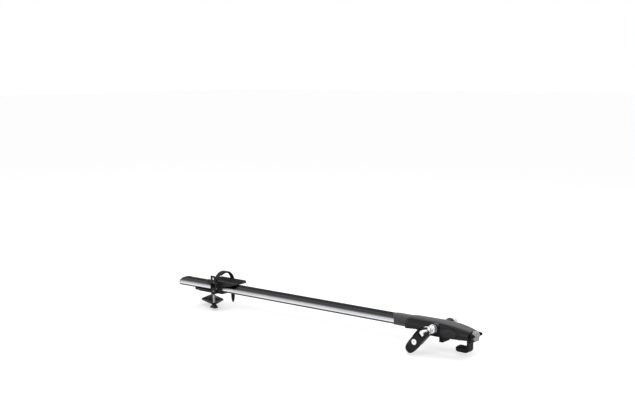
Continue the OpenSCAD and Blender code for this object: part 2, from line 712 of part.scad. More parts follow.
module wheel_strap() color("black")
    difference() {
        along_x(band_x - strap_w / 2, band_x + strap_w / 2) {
            polygon(concat(
                [for (i = [0 : len(strap_line) - 1]) strap_line[i] + strap_normal(i) * strap_thick / 2],
                [for (i = [len(strap_line) - 1 : -1 : 0])
                    strap_line[i] - strap_normal(i) * strap_thick / 2]));
            translate([anchor_y, anchor_z]) circle(r = eye_r);
            for (t = [180 - 8 : tooth_step * 0.62 : 180 + strap_low - 2])
                translate([anchor_y, anchor_z]) rotate(t)
                    translate([strap_reach + strap_thick / 2 - 0.3, 0])
                    polygon([[0, -0.5], [tooth + 0.3, -0.5], [0, 0.7]]);
        }
        translate([0, anchor_y, anchor_z]) rod_x(anchor_pin_r + run, -2 * tray_rear, 0);
    }

module rim_guard() color([0.15, 0.15, 0.15])
    along_x(band_x - strap_w / 2 - 2, band_x + strap_w / 2 + 2) polygon(concat(
        arc(arch_c, arch_r - strap_thick / 2 - 0.05, 60, 125, 16),
        arc(arch_c, arch_r - strap_thick / 2 - 4, 125, 60, 16)));

// Frame of the buckle on the near side of the cradle, open upwards for the strap
module buckle_frame() color([0.2, 0.2, 0.21])
    difference() {
        union() {
            slab(band_x - buckle_half - buckle_wall, band_x + buckle_half + buckle_wall,
                -carriage_w - buckle_wall, -carriage_w - 0.05, split_z + 1, cradle_z + 4);
            for (x = [band_x - buckle_half - buckle_wall, band_x + buckle_half])
                slab(x, x + buckle_wall, latch_pin_y - 5, -carriage_w - 0.05, split_z + 1, latch_pin_z + 5);
        }
        translate([0, latch_pin_y, latch_pin_z]) rod_x(latch_r, -2 * tray_rear, 0);
        translate([0, latch_pin_y, pawl_pin_z]) rod_x(latch_r, -2 * tray_rear, 0);
    }

module cross_pin(z) color("silver")
    translate([0, latch_pin_y, z])
        rod_x(latch_r - press, band_x - buckle_half - buckle_wall, band_x + buckle_half + buckle_wall);
module latch_pin() cross_pin(latch_pin_z);
module pawl_pin() cross_pin(pawl_pin_z);

module buckle_lever() color("black")
    difference() {
        along_x(band_x - buckle_half + gap, band_x + buckle_half - gap)
            polygon(concat(arc([latch_pin_y, latch_pin_z], latch_eye, 180, 360, 12),
                [[latch_pin_y + 1, latch_pin_z + 10], [latch_pin_y - 4, latch_pin_z + 28],
                    [latch_pin_y - 7, latch_pin_z + 26]]));
        translate([0, latch_pin_y, latch_pin_z]) rod_x(latch_r + run, -2 * tray_rear, 0);
        slab(band_x - 4.5, band_x + 4.5, -2 * tray_w, 0, latch_pin_z + 10, latch_pin_z + 20);
    }

module buckle_pawl() color([0.2, 0.2, 0.21])
    difference() {
        along_x(band_x - buckle_half + gap, band_x + buckle_half - gap)
            polygon(concat(arc([latch_pin_y, pawl_pin_z], pawl_eye, 110, 180, 6),
                [[latch_pin_y - 4, pawl_pin_z - 9], [latch_pin_y - 1, pawl_pin_z - 9],
                    [latch_pin_y + 2.8, pawl_pin_z - 1.5], [buckle_out - 0.2, pawl_pin_z + 4]]));
        translate([0, latch_pin_y, pawl_pin_z]) rod_x(latch_r + run, -2 * tray_rear, 0);
    }

// Plate under the rear bar, from the stud's lug to the guide post's lug
module rear_jaw() color("black")
    difference() {
        translate([0, 0, -jaw_top - rear_jaw_t]) {
            linear_extrude(rear_jaw_t) hull() {
                translate([stud_x, -stud_y]) circle(r = ear_r);
                translate([rear_x, 0]) square([bar_w - 10, 44], center = true);
                translate([post_x, stud_y]) circle(r = ear_r);
            }
            translate([post_x, stud_y, jaw_top + rear_jaw_t - foot_z])
                cylinder(r = ear_r, h = foot_z - jaw_top);
        }
        translate([stud_x, -stud_y, -2 * foot_z]) cylinder(r = stud_d / 2 + fit, h = 2 * foot_z);
        translate([post_x, stud_y, post_low]) cylinder(r = stud_d / 2, h = foot_z);
    }

module rear_jaw_pad() color([0.15, 0.15, 0.15])
    slab(rear_x - bar_w / 2 + shoe_in, rear_x + bar_w / 2 - shoe_in, -shoe_half, shoe_half,
        -jaw_top, -bar_h - gap);

module guide_post() color("silver")
    translate([post_x, stud_y, post_low])
        cylinder(r = stud_d / 2 - press, h = pad_t + end_lift - post_low);

module rear_knob() color("black")
    translate([stud_x, -stud_y, 0]) difference() {
        union() {
            translate([0, 0, -foot_z]) cylinder(r = knob_core, h = foot_z - jaw_top - rear_jaw_t - gap);
            across(-wing_half, wing_half) polygon([
                [-wing_w / 2, -foot_z], [wing_w / 2, -foot_z], [wing_w / 2, -foot_z + 4],
                [wing_half, -jaw_top - rear_jaw_t - 3], [-wing_half, -jaw_top - rear_jaw_t - 3],
                [-wing_w / 2, -foot_z + 4]]);
        }
        translate([0, 0, -foot_z + 0.7]) cylinder(r = stud_d / 2 + fit, h = foot_z);
    }

tray_extrusion();
tray_top_strip();
tray_end_cap();
tray_collar();
tray_nut_bar();
tray_bolt_front();
tray_bolt_rear();
head_base();
head_shell();
head_top_cover();
side_panel_near();
side_panel_far();
front_bar_pad();
hook_pad();
jaw_screw_nut();
shell_screw_near();
shell_screw_far();
dropout_cup_near();
dropout_cup_far();
skewer_rod();
skewer_barrel();
front_jaw();
front_jaw_pad();
jaw_knob();
jaw_screw();
skewer_lever();
lever_pin();
lock_body();
lock_plug();
clamp_collar();
skewer_nut();
carriage_saddle();
rear_bar_pad();
wheel_cradle();
cradle_pad();
clamp_stud();
carriage_pin_near();
carriage_pin_far();
strap_anchor();
strap_pin();
strap_tail();
buckle_frame();
latch_pin();
pawl_pin();
rear_jaw();
rear_jaw_pad();
guide_post();
rear_knob();
wheel_strap();
rim_guard();
buckle_lever();
buckle_pawl();
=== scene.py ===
"""Roof mounted bike carrier: finished pieces, materials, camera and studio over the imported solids."""

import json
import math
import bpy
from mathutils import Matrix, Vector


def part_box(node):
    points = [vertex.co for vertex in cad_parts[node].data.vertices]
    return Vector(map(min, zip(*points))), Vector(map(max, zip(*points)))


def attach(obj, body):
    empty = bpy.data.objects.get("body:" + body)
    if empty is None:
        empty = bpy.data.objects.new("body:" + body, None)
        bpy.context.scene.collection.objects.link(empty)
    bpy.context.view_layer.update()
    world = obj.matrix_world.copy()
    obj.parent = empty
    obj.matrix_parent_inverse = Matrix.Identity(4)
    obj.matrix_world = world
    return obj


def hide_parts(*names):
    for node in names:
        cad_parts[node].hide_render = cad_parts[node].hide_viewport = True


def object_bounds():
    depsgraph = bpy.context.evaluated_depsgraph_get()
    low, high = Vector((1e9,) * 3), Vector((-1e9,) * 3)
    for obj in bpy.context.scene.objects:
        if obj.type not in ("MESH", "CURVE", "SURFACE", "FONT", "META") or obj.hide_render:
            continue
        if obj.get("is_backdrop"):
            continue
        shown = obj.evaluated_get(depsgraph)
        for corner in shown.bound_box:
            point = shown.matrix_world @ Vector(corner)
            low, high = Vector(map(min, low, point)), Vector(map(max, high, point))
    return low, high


bl_info = {
    "name": "Roof Mounted Bike Carrier",
    "version": (1, 0, 0),
    "blender": (4, 5, 0),
    "location": "View3D > Sidebar > Carrier",
    "description": "Builds the carrier's finished pieces and materials over its packed solids",
    "category": "Object",
}

import bmesh
import bpy
from bpy.props import FloatProperty, FloatVectorProperty, IntProperty, PointerProperty
from bpy.types import Operator, Panel, PropertyGroup
from mathutils import Matrix, Vector
from mathutils.kdtree import KDTree

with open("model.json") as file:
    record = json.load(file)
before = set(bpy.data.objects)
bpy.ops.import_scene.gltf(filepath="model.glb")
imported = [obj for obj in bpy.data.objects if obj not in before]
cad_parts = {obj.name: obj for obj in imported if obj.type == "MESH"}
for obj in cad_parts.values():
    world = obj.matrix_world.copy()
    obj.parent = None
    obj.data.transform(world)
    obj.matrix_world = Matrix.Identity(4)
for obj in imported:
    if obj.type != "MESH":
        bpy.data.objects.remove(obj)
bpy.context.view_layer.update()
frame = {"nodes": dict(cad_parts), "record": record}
MM = 0.001


def box_mm(node):
    """Lowest and highest corner of a node, in millimetres."""
    low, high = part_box(node)
    return Vector(low) / MM, Vector(high) / MM


# Places and sizes in millimetres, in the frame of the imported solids.
TRAY_LOW, TRAY_HIGH = box_mm("tray_extrusion")
STRIP_LOW, STRIP_HIGH = box_mm("tray_top_strip")
TRAY_HALF = TRAY_HIGH.y
TRAY_RISE = 15.5  # half the tray's height
TRAY_MID = TRAY_LOW.z + TRAY_RISE
TRAY_POWER = 2.3  # exponents of the ovals
HEAD_POWER = 2.7
HEAD_LOW = 0.8  # foot of the head's dome
HEAD_REAR, HEAD_FRONT = -186, 40
SKEWER = Vector((-73.0, 0.0, 24.0))
LEVER_PIN = Vector((-73.0, -97.9, 24.0))
LEVER_TILT = math.radians(48)
KNOB_Z = 11.0  # height of the jaw screw
BAND_X = -1022.0  # middle of the strap and its buckle
CRADLE_REAR, CRADLE_FRONT = -1079, -945
ANCHOR = Vector((45.9, 34.0))  # pivots of the strap and the buckle, as y and z
LATCH = Vector((-54.3, 46.0))


class CarrierSizes(PropertyGroup):
    """Sizes of the fine detail, which the solids leave out."""

    cover_step: FloatProperty(
        name="Cover step", description="How far the top cover stands over the shell", default=0.0008,
        min=0.0, max=0.002, unit="LENGTH")
    strip_grooves: IntProperty(
        name="Strip grooves", description="Grooves along the strip on the tray", default=8, min=0, max=14)
    knob_flutes: IntProperty(
        name="Knob flutes", description="Finger flutes round the front knob", default=12, min=6, max=24)
    pad_ribs: IntProperty(
        name="Pad ribs", description="Ribs across the cradle's rubber", default=19, min=0, max=40)
    grain: FloatProperty(
        name="Grain", description="Grain size of the moulded plastic", default=0.0009,
        min=0.0002, max=0.004, unit="LENGTH")


def paint(label, about, colour):
    """Colour property with a default."""
    return FloatVectorProperty(
        name=label, description=about, default=colour, size=3, min=0.0, max=1.0, subtype="COLOR")


class CarrierColours(PropertyGroup):
    """Base colours of the finishes."""

    tray_silver: paint("Tray silver", "Anodised sides of the tray", (0.80, 0.81, 0.83))
    # The tray shade colour is a painted dark reflection over the tray's upper half and top, not a colour of
    # the metal.
    tray_shade: paint("Tray shade", "Charcoal anodising along the tray's top", (0.060, 0.061, 0.065))
    strip: paint("Strip", "Rubber strip on the tray", (0.008, 0.008, 0.009))
    cap: paint("Cap", "End cap and collar", (0.046, 0.047, 0.050))
    shell: paint("Shell", "Head shell", (0.006, 0.006, 0.007))
    cover: paint("Cover", "Top cover of the head", (0.009, 0.009, 0.010))
    panel: paint("Panel", "Oval side panels", (0.020, 0.020, 0.022))
    casting: paint("Casting", "Coated castings", (0.006, 0.006, 0.007))
    holder: paint("Holder", "Wheel holder's plastic", (0.013, 0.013, 0.014))
    rubber: paint("Rubber", "Pads and seals", (0.012, 0.012, 0.012))
    knob: paint("Knob", "Front knob", (0.40, 0.41, 0.42))
    steel: paint("Steel", "Plated screws and pins", (0.62, 0.62, 0.63))
    bright: paint("Bright steel", "Turned clamp parts", (0.84, 0.84, 0.86))
    floor: paint("Floor", "Studio floor", (0.86, 0.86, 0.86))


class Wire:
    """A shader value that takes part in Python arithmetic."""

    def __init__(self, tree, socket):
        self.tree = tree
        self.socket = socket

    def maths(self, operation, first, second):
        return Nodes(self.tree).node("ShaderNodeMath", {"operation": operation}, {0: first, 1: second})

    def __add__(self, other):
        return self.maths("ADD", self, other)

    __radd__ = __add__

    def __sub__(self, other):
        return self.maths("SUBTRACT", self, other)

    def __rsub__(self, other):
        return self.maths("SUBTRACT", other, self)

    def __mul__(self, other):
        return self.maths("MULTIPLY", self, other)

    __rmul__ = __mul__


class Nodes:
    """Makes the nodes of one tree."""

    def __init__(self, tree):
        self.tree = tree

    def node(self, kind, settings, sockets, output=0):
        """Any node: its settings first, then values or links of its sockets."""
        made = self.tree.nodes.new(kind)
        for key, value in settings.items():
            setattr(made, key, value)
        for key, value in sockets.items():
            if isinstance(value, Wire):
                self.tree.links.new(value.socket, made.inputs[key])
            else:
                made.inputs[key].default_value = value
        return Wire(self.tree, made.outputs[output] if made.outputs else None)

    def seen(self):
        """One for rays that show the background: camera, glossy and transmission rays."""
        camera, glossy, clear = (
            self.node("ShaderNodeLightPath", {}, {}, f"Is {kind} Ray")
            for kind in ("Camera", "Glossy", "Transmission"))
        return camera.maths("MAXIMUM", camera.maths("MAXIMUM", camera, glossy), clear)


class Finish(Nodes):
    """A procedural material on one Principled shader."""

    def __init__(self, name, metallic=0.0, specular=0.5):
        self.material = bpy.data.materials.new(name)
        self.material.use_nodes = True
        super().__init__(self.material.node_tree)
        self.shader = self.tree.nodes["Principled BSDF"]
        self.shader.inputs["Metallic"].default_value = metallic
        self.shader.inputs["Specular IOR Level"].default_value = specular
        self.place = self.node("ShaderNodeTexCoord", {}, {}, "Object")

    def stretched(self, x, y, z):
        return self.node("ShaderNodeMapping", {}, {"Vector": self.place, "Scale": (x, y, z)})

    def noise(self, scale, detail=3.0, rough=0.5, where=None):
        return self.node("ShaderNodeTexNoise", {}, {
            "Vector": where or self.place, "Scale": scale, "Detail": detail, "Roughness": rough})

    def ramp(self, value, low, high, dark=0.0, light=1.0):
        return self.node("ShaderNodeMapRange", {"interpolation_type": "SMOOTHSTEP"}, {
            "Value": value, "From Min": low, "From Max": high, "To Min": dark, "To Max": light})

    def height(self):
        return self.node("ShaderNodeSeparateXYZ", {}, {"Vector": self.place}, "Z")

    def blend(self, factor, first, second):
        """Mix of two colours."""
        first, second = (
            value if isinstance(value, Wire) else (*value, 1.0) for value in (first, second))
        return self.node(
            "ShaderNodeMix", {"data_type": "RGBA"}, {"Factor": factor, 6: first, 7: second}, 2)

    def feed(self, socket, value):
        """Links a value that changes over the surface to the shader."""
        self.tree.links.new(value.socket, self.shader.inputs[socket])

    def bump(self, height, strength, distance):
        self.feed("Normal", self.node("ShaderNodeBump", {}, {
            "Height": height, "Strength": strength, "Distance": distance}))


def scaled(colour, factor):
    """Lighter or darker colour."""
    return tuple(min(1.0, part * factor) for part in colour)


def moulded_plastic(name, colour, rough, grain, depth):
    """Moulded plastic with a fine eroded grain, faint flow marks and handling scuffs."""
    made = Finish(name, specular=0.19)
    flow = made.noise(38.0, 4.0, 0.6)
    pores = made.noise(1.0 / grain, 2.0, 0.55)
    scuffs = made.noise(90.0, 6.0, 0.75, made.stretched(0.35, 1.0, 1.6))
    worn = made.ramp(scuffs, 0.60, 0.78)
    tone = made.blend(made.ramp(flow, 0.3, 0.7), scaled(colour, 0.84), scaled(colour, 1.16))
    made.feed("Base Color", made.blend(worn * 0.35, tone, scaled(colour, 2.1)))
    made.feed("Roughness", made.ramp(pores, 0.3, 0.7, rough - 0.05, rough + 0.07) + worn * 0.07)
    made.bump(pores, 0.55, depth)
    return made.material


def moulded_rubber(name, colour):
    """Dull rubber with a fine bloom."""
    made = Finish(name, specular=0.15)
    bloom = made.noise(55.0, 5.0, 0.65)
    skin = made.noise(1400.0, 2.0)
    made.feed("Base Color", made.blend(made.ramp(bloom, 0.38, 0.72), colour, scaled(colour, 1.9)))
    made.feed("Roughness", made.ramp(bloom, 0.3, 0.7, 0.66, 0.84))
    made.bump(skin, 0.4, 0.00005)
    return made.material


def coated_casting(name, colour):
    """Casting under black powder coat with its slight orange peel."""
    made = Finish(name, specular=0.12)
    peel = made.noise(420.0, 2.0, 0.4)
    dust = made.noise(24.0, 5.0, 0.7)
    made.feed("Base Color", made.blend(made.ramp(dust, 0.4, 0.75), colour, scaled(colour, 1.5)))
    made.feed("Roughness", made.ramp(dust, 0.3, 0.7, 0.36, 0.50))
    made.bump(peel, 0.35, 0.00012)
    return made.material


def anodised_tray(name, silver, shade):
    """Extruded aluminium: silver sides with die lines, a painted dark reflection that darkens the upper half
    to charcoal at the top, and painted shade as a dark line along the lower edge.
    """
    made = Finish(name, metallic=1.0)
    lines = made.noise(1.0, 3.0, 0.6, made.stretched(6.0, 1500.0, 1500.0))
    cloud = made.noise(9.0, 4.0, 0.6)
    height = made.height()
    # Painted reflection: the sides darken from silver towards the shade colour between 17 and 32.5 mm up.
    band = made.ramp(height, 0.0170, 0.0325)
    # Painted shade: a dark line along the tray's lower edge, where the metal is also turned off and
    # roughened.
    foot = made.ramp(height, 0.0160, 0.0178, 1.0, 0.0)
    sides = made.blend(made.ramp(cloud, 0.3, 0.7), scaled(silver, 0.95), scaled(silver, 1.04))
    streaked = made.blend(made.ramp(lines, 0.35, 0.75) * 0.20, sides, scaled(silver, 0.72))
    # The silver sides with the painted shade along the lower edge.
    lower = made.blend(foot, streaked, scaled(silver, 0.02))
    # Painted reflection, darker still towards the top of the tray.
    painted_top_reflection = made.blend(made.ramp(height, 0.0265, 0.0360), shade, scaled(shade, 0.3))
    made.feed("Base Color", made.blend(band, lower, painted_top_reflection))
    made.feed("Roughness", made.ramp(lines, 0.3, 0.7, 0.30, 0.42) + band * 0.08 + foot * 0.3)
    made.feed("Metallic", 1 - foot)
    made.bump(lines, 0.12, 0.00003)
    return made.material


def turned_metal(name, colour):
    """Turned and plated metal with fine tool marks across the skewer's axis."""
    made = Finish(name, metallic=1.0)
    marks = made.noise(1.0, 2.0, 0.5, made.stretched(40.0, 2600.0, 40.0))
    haze = made.noise(70.0, 4.0, 0.6)
    made.feed("Base Color", made.blend(made.ramp(haze, 0.35, 0.7), colour, scaled(colour, 0.86)))
    made.feed("Roughness", made.ramp(marks, 0.3, 0.7, 0.15, 0.29))
    made.bump(marks, 0.10, 0.00002)
    return made.material


def zinc_plate(name, colour):
    """Zinc plated steel with its mottled grey."""
    made = Finish(name, metallic=1.0)
    mottle = made.noise(160.0, 4.0, 0.65)
    made.feed("Base Color", made.blend(made.ramp(mottle, 0.35, 0.7), scaled(colour, 0.72), colour))
    made.feed("Roughness", made.ramp(mottle, 0.3, 0.7, 0.26, 0.44))
    made.bump(mottle, 0.15, 0.00004)
    return made.material


FINISHES = {}
# Slot, name, colour, roughness, coarseness and depth of the grain.
PLASTICS = (
    ("cap_plastic", "collar plastic", "cap", 0.46, 1.0, 0.00006),
    ("shell_plastic", "shell plastic", "shell", 0.40, 1.0, 0.00006),
    ("cover_plastic", "cover plastic", "cover", 0.36, 1.0, 0.00006),
    ("panel_plastic", "panel plastic", "panel", 0.48, 1.4, 0.0001),
    ("knob_plastic", "knob plastic", "knob", 0.42, 1.0, 0.00003),
    ("lever_plastic", "lever plastic", "casting", 0.38, 1.0, 0.00006),
    ("holder_plastic", "holder plastic", "holder", 0.45, 1.0, 0.00006),
    ("strap_plastic", "strap plastic", "rubber", 0.55, 0.7, 0.00006),
)


def finishes():
    """All materials, made once and shared."""
    if FINISHES:
        return FINISHES
    group = bpy.context.scene.carrier_colours
    colours = {key: tuple(getattr(group, key)) for key in CarrierColours.__annotations__}
    grain = bpy.context.scene.carrier_sizes.grain
    FINISHES.update({
        "tray_alloy": anodised_tray("anodised tray", colours["tray_silver"], colours["tray_shade"]),
        "strip_rubber": moulded_rubber("tray strip rubber", colours["strip"]),
        "pad_rubber": moulded_rubber("pad rubber", colours["rubber"]),
        "base_casting": coated_casting("head casting", colours["casting"]),
        "jaw_casting": coated_casting("jaw casting", colours["casting"]),
        "steel": zinc_plate("zinc plated steel", colours["steel"]),
        "bright_steel": turned_metal("turned bright steel", colours["bright"]),
    })
    for slot, name, colour, rough, coarse, depth in PLASTICS:
        FINISHES[slot] = moulded_plastic(name, colours[colour], rough, grain * coarse, depth)
    return FINISHES


def add_rounding(piece, width, segments=3, limit=32.0):
    """Live bevel on a piece's sharp edges, with normals weighted to the flats."""
    bevel = piece.modifiers.new("rounding", "BEVEL")
    bevel.width = width
    bevel.segments = segments
    bevel.limit_method = "ANGLE"
    bevel.angle_limit = math.radians(limit)
    bevel.miter_outer = "MITER_ARC"
    bevel.harden_normals = False
    shade = piece.modifiers.new("weighting", "WEIGHTED_NORMAL")
    shade.keep_sharp = True
    shade.weight = 60


def finish_piece(bm, name, slot, body, nodes, rounding=0.0, sharp=40.0, finish=None):
    """Turns a bmesh in millimetres into a riding piece that stands for some nodes."""
    bmesh.ops.remove_doubles(bm, verts=bm.verts, dist=0.0005)
    bmesh.ops.recalc_face_normals(bm, faces=bm.faces)
    bmesh.ops.scale(bm, vec=(MM, MM, MM), verts=bm.verts)
    limit = math.radians(sharp)
    for face in bm.faces:
        face.smooth = True
    for edge in bm.edges:
        if not rounding:
            edge.smooth = len(edge.link_faces) == 2 and edge.calc_face_angle(0.0) < limit
    mesh = bpy.data.meshes.new(name)
    bm.to_mesh(mesh)
    bm.free()
    mesh.materials.append(finishes()[finish or slot])
    piece = bpy.data.objects.new(name, mesh)
    bpy.context.scene.collection.objects.link(piece)
    if rounding:
        add_rounding(piece, rounding)
    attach(piece, body)
    if nodes:
        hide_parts(*nodes)
    return piece


def prism(bm, points, shift):
    """Closed prism: a face through the points, drawn out along a shift."""
    face = bm.faces.new([bm.verts.new(point) for point in points])
    made = bmesh.ops.extrude_face_region(bm, geom=[face])["geom"]
    fresh = [part for part in made if isinstance(part, bmesh.types.BMVert)]
    bmesh.ops.translate(bm, vec=shift, verts=fresh)
    return fresh


def block(bm, low, high):
    """Block between two corners."""
    low, high = Vector(low), Vector(high)
    made = bmesh.ops.create_cube(bm, size=1.0)["verts"]
    bmesh.ops.scale(bm, vec=high - low, verts=made)
    bmesh.ops.translate(bm, vec=(low + high) / 2, verts=made)
    return made


def loop_through(bm, points):
    """Closed loop of edges through the points."""
    made = bmesh.ops.create_circle(bm, segments=len(points), radius=1.0)["verts"]
    for vert, point in zip(made, points):
        vert.co = point
    return list({edge for vert in made for edge in vert.link_edges})


def loft(bm, sections, ends=True, joined=False):
    """Skin over a row of closed sections."""
    loops = [loop_through(bm, points) for points in sections]
    pairs = list(zip(loops, loops[1:]))
    if joined:
        pairs.append((loops[-1], loops[0]))
    for first, second in pairs:
        bmesh.ops.bridge_loops(bm, edges=first + second)
    if ends:
        bmesh.ops.edgeloop_fill(bm, edges=loops[0])
        bmesh.ops.edgeloop_fill(bm, edges=loops[-1])


def turned(bm, profile, centre, axis, steps=56):
    """Solid of revolution from (radius, distance along the axis) pairs."""
    axis = Vector(axis).normalized()
    side = axis.orthogonal().normalized()
    centre = Vector(centre)
    verts = [bm.verts.new(centre + axis * along + side * radius) for radius, along in profile]
    edges = [bm.edges.new(pair) for pair in zip(verts, verts[1:])]
    bmesh.ops.spin(
        bm, geom=verts + edges, cent=centre, axis=axis, angle=2 * math.pi, steps=steps, use_merge=True)


def patch(bm, across, along, place):
    """Grid whose points are placed by a function of two shares from 0 to 1."""
    made = bmesh.ops.create_grid(bm, x_segments=across, y_segments=along, size=0.5)["verts"]
    for vert in made:
        vert.co = place(vert.co.x + 0.5, vert.co.y + 0.5)
    return made


def rounded(points, radius, steps=4):
    """Outline with its corners rounded off."""
    out = []
    count = len(points)
    for i, corner in enumerate(points):
        corner = Vector(corner)
        before = Vector(points[i - 1]) - corner
        after = Vector(points[(i + 1) % count]) - corner
        reach_in = min(radius, before.length * 0.48)
        reach_out = min(radius, after.length * 0.48)
        start = corner + before.normalized() * reach_in
        end = corner + after.normalized() * reach_out
        for k in range(steps + 1):
            t = k / steps
            out.append(start * (1 - t) ** 2 + corner * 2 * t * (1 - t) + end * t ** 2)
    return out


def signed_power(value, power):
    """Power of a size that keeps its sign."""
    return math.copysign(abs(value) ** power, value)


def circle_point(turn, radius=1.0):
    """Point of a circle about the origin."""
    return Vector((math.cos(turn), math.sin(turn))) * radius


def fluted(radius, depth, flutes, steps):
    """Points of a circle with finger flutes."""
    out = []
    for i in range(steps):
        turn = 2 * math.pi * i / steps
        reach = radius - depth * max(0.0, math.cos(flutes * turn)) ** 2
        out.append((reach * math.sin(turn), reach * math.cos(turn)))
    return out


def oval(half_y, half_z, steps, power=TRAY_POWER):
    """Points (y, z) of a superellipse about the origin."""
    out = []
    for i in range(steps):
        turn = 2 * math.pi * i / steps
        out.append((half_y * signed_power(math.cos(turn), 2 / power),
                    half_z * signed_power(math.sin(turn), 2 / power)))
    return out


def tray_ring(x, grow, steps=96):
    """Ring round the tray's outline, with its place along X a number or a function of the place across."""
    return [(x(y) if callable(x) else x, y, TRAY_MID + z)
            for y, z in oval(TRAY_HALF + grow, TRAY_RISE + grow, steps)]


def tray_skin(y, grow=0.0):
    """Height of the tray's upper surface at a place across it."""
    share = min(1.0, abs(y) / (TRAY_HALF + grow))
    return TRAY_MID + (TRAY_RISE + grow) * (1 - share ** TRAY_POWER) ** (1 / TRAY_POWER)


def curve_at(x, table):
    """Smooth curve through a short table of places and values."""
    i = 0
    while i < len(table) - 2 and x >= table[i + 1][0]:
        i += 1

    def slope(k):
        a, b = table[max(k - 1, 0)], table[min(k + 1, len(table) - 1)]
        return (b[1] - a[1]) / (b[0] - a[0])

    span = table[i + 1][0] - table[i][0]
    u = (x - table[i][0]) / span
    return ((1 + 2 * u) * (1 - u) ** 2 * table[i][1] + u * (1 - u) ** 2 * span * slope(i)
            + u * u * (3 - 2 * u) * table[i + 1][1] + u * u * (u - 1) * span * slope(i + 1))


def line_at(x, table):
    """Straight lines through a short table."""
    if x <= table[0][0]:
        return table[0][1]
    for (x0, v0), (x1, v1) in zip(table, table[1:]):
        if x <= x1:
            return v0 + (v1 - v0) * (x - x0) / (x1 - x0)
    return table[-1][1]


# The head along X: half width, height of the top, edge of the cover across, and lower edge of the shell.
HEAD_WIDTH = [(-186, 39), (-170, 42.5), (-73, 48.5), (-20, 46.5), (12, 41.5), (40, 33)]
HEAD_TOP = [(-186, 39.5), (-170, 40.1), (-125, 40.3), (-73, 39.8), (-22, 36.8), (12, 31), (40, 24)]
COVER_EDGE = [(-191, 28), (-33.5, 28), (-16.5, 31), (0, 34), (11.5, 38.8), (18.5, 50), (45, 50)]
WAIST = [(-187, 6.6), (-170, 8.4), (-155, 10), (-140, 11), (-126, 10.4), (-116, 7.6), (-106, 3.8),
         (-97, 0.8), (45, 0.8)]


def foot_angle(x, grow=0.0):
    """Angle over the dome at which the shell's lower edge lies."""
    height = curve_at(x, HEAD_TOP) + grow - HEAD_LOW
    share = max(0.0, (line_at(x, WAIST) - HEAD_LOW) / height)
    return math.asin(share ** (HEAD_POWER / 2))


def dome_point(x, turn, grow=0.0):
    """Point of the head's dome at a place along it and an angle over it."""
    width = curve_at(x, HEAD_WIDTH) + grow
    height = curve_at(x, HEAD_TOP) + grow - HEAD_LOW
    return Vector((
        x, width * signed_power(math.cos(turn), 2 / HEAD_POWER),
        HEAD_LOW + height * max(math.sin(turn), 0.0) ** (2 / HEAD_POWER)))


def dome_side(x, z, grow=0.0):
    """Half width of the dome at a place along it and a height."""
    width = curve_at(x, HEAD_WIDTH) + grow
    height = curve_at(x, HEAD_TOP) + grow - HEAD_LOW
    share = min(1.0, max(0.0, (z - HEAD_LOW) / height))
    return width * (1 - share ** HEAD_POWER) ** (1 / HEAD_POWER)


def rim_angle(x):
    """Angle over the dome at which the top cover ends."""
    share = line_at(x, COVER_EDGE) / curve_at(x, HEAD_WIDTH)
    return 0.0 if share >= 1.0 else math.acos(share ** (HEAD_POWER / 2))


def outward(bm, away):
    """Turns an open sheet's faces so that they look along a direction."""
    bmesh.ops.recalc_face_normals(bm, faces=bm.faces)
    bm.normal_update()
    if sum(face.normal.dot(Vector(away)) for face in bm.faces) < 0:
        bmesh.ops.reverse_faces(bm, faces=bm.faces)


def thicken(bm, wall):
    """Gives an open sheet a wall on its inner side."""
    bmesh.ops.solidify(bm, geom=bm.faces[:], thickness=wall)


def make_tray():
    """Oval tray with its channel on top and its slot underneath."""
    bm = bmesh.new()
    channel, channel_z = STRIP_HIGH.y + 0.1, STRIP_LOW.z
    mouth, slot, lip, deep, steps = 5.25, 9.5, 2.4, 5.0, 60
    low = -math.acos((mouth / TRAY_HALF) ** (TRAY_POWER / 2))
    high = math.acos((channel / TRAY_HALF) ** (TRAY_POWER / 2))
    side = []
    for i in range(steps + 1):
        turn = low + (high - low) * i / steps
        side.append((TRAY_HALF * math.cos(turn) ** (2 / TRAY_POWER),
                     TRAY_MID + TRAY_RISE * signed_power(math.sin(turn), 2 / TRAY_POWER)))
    floor = TRAY_MID - TRAY_RISE + lip
    right = [(slot, floor + deep), (slot, floor), (mouth, floor)] + side + [(channel, channel_z)]
    outline = right + [(-y, z) for y, z in reversed(right)]
    prism(bm, [(TRAY_LOW.x, y, z) for y, z in outline], (TRAY_HIGH.x - TRAY_LOW.x, 0, 0))
    finish_piece(bm, "tray", "tray_alloy", "carrier", ["tray_extrusion"], sharp=30)


def make_strip():
    """Rubber strip with grooves along it."""
    bm = bmesh.new()
    half = STRIP_HIGH.y
    grooves = bpy.context.scene.carrier_sizes.strip_grooves
    steps, sunk, groove_depth = 120, 0.05, 0.6
    top = []
    for i in range(steps + 1):
        y = half - 2 * half * i / steps
        wave = 0.5 - 0.5 * math.cos(2 * math.pi * grooves * (y / (2 * half) + 0.5))
        top.append((y, tray_skin(y) - sunk - groove_depth * (1 - wave) ** 3))
    outline = [(half, STRIP_LOW.z)] + top + [(-half, STRIP_LOW.z)]
    prism(bm, [(STRIP_LOW.x, y, z) for y, z in outline], (STRIP_HIGH.x - STRIP_LOW.x, 0, 0))
    finish_piece(bm, "tray_strip", "strip_rubber", "carrier", ["tray_top_strip"], sharp=50)


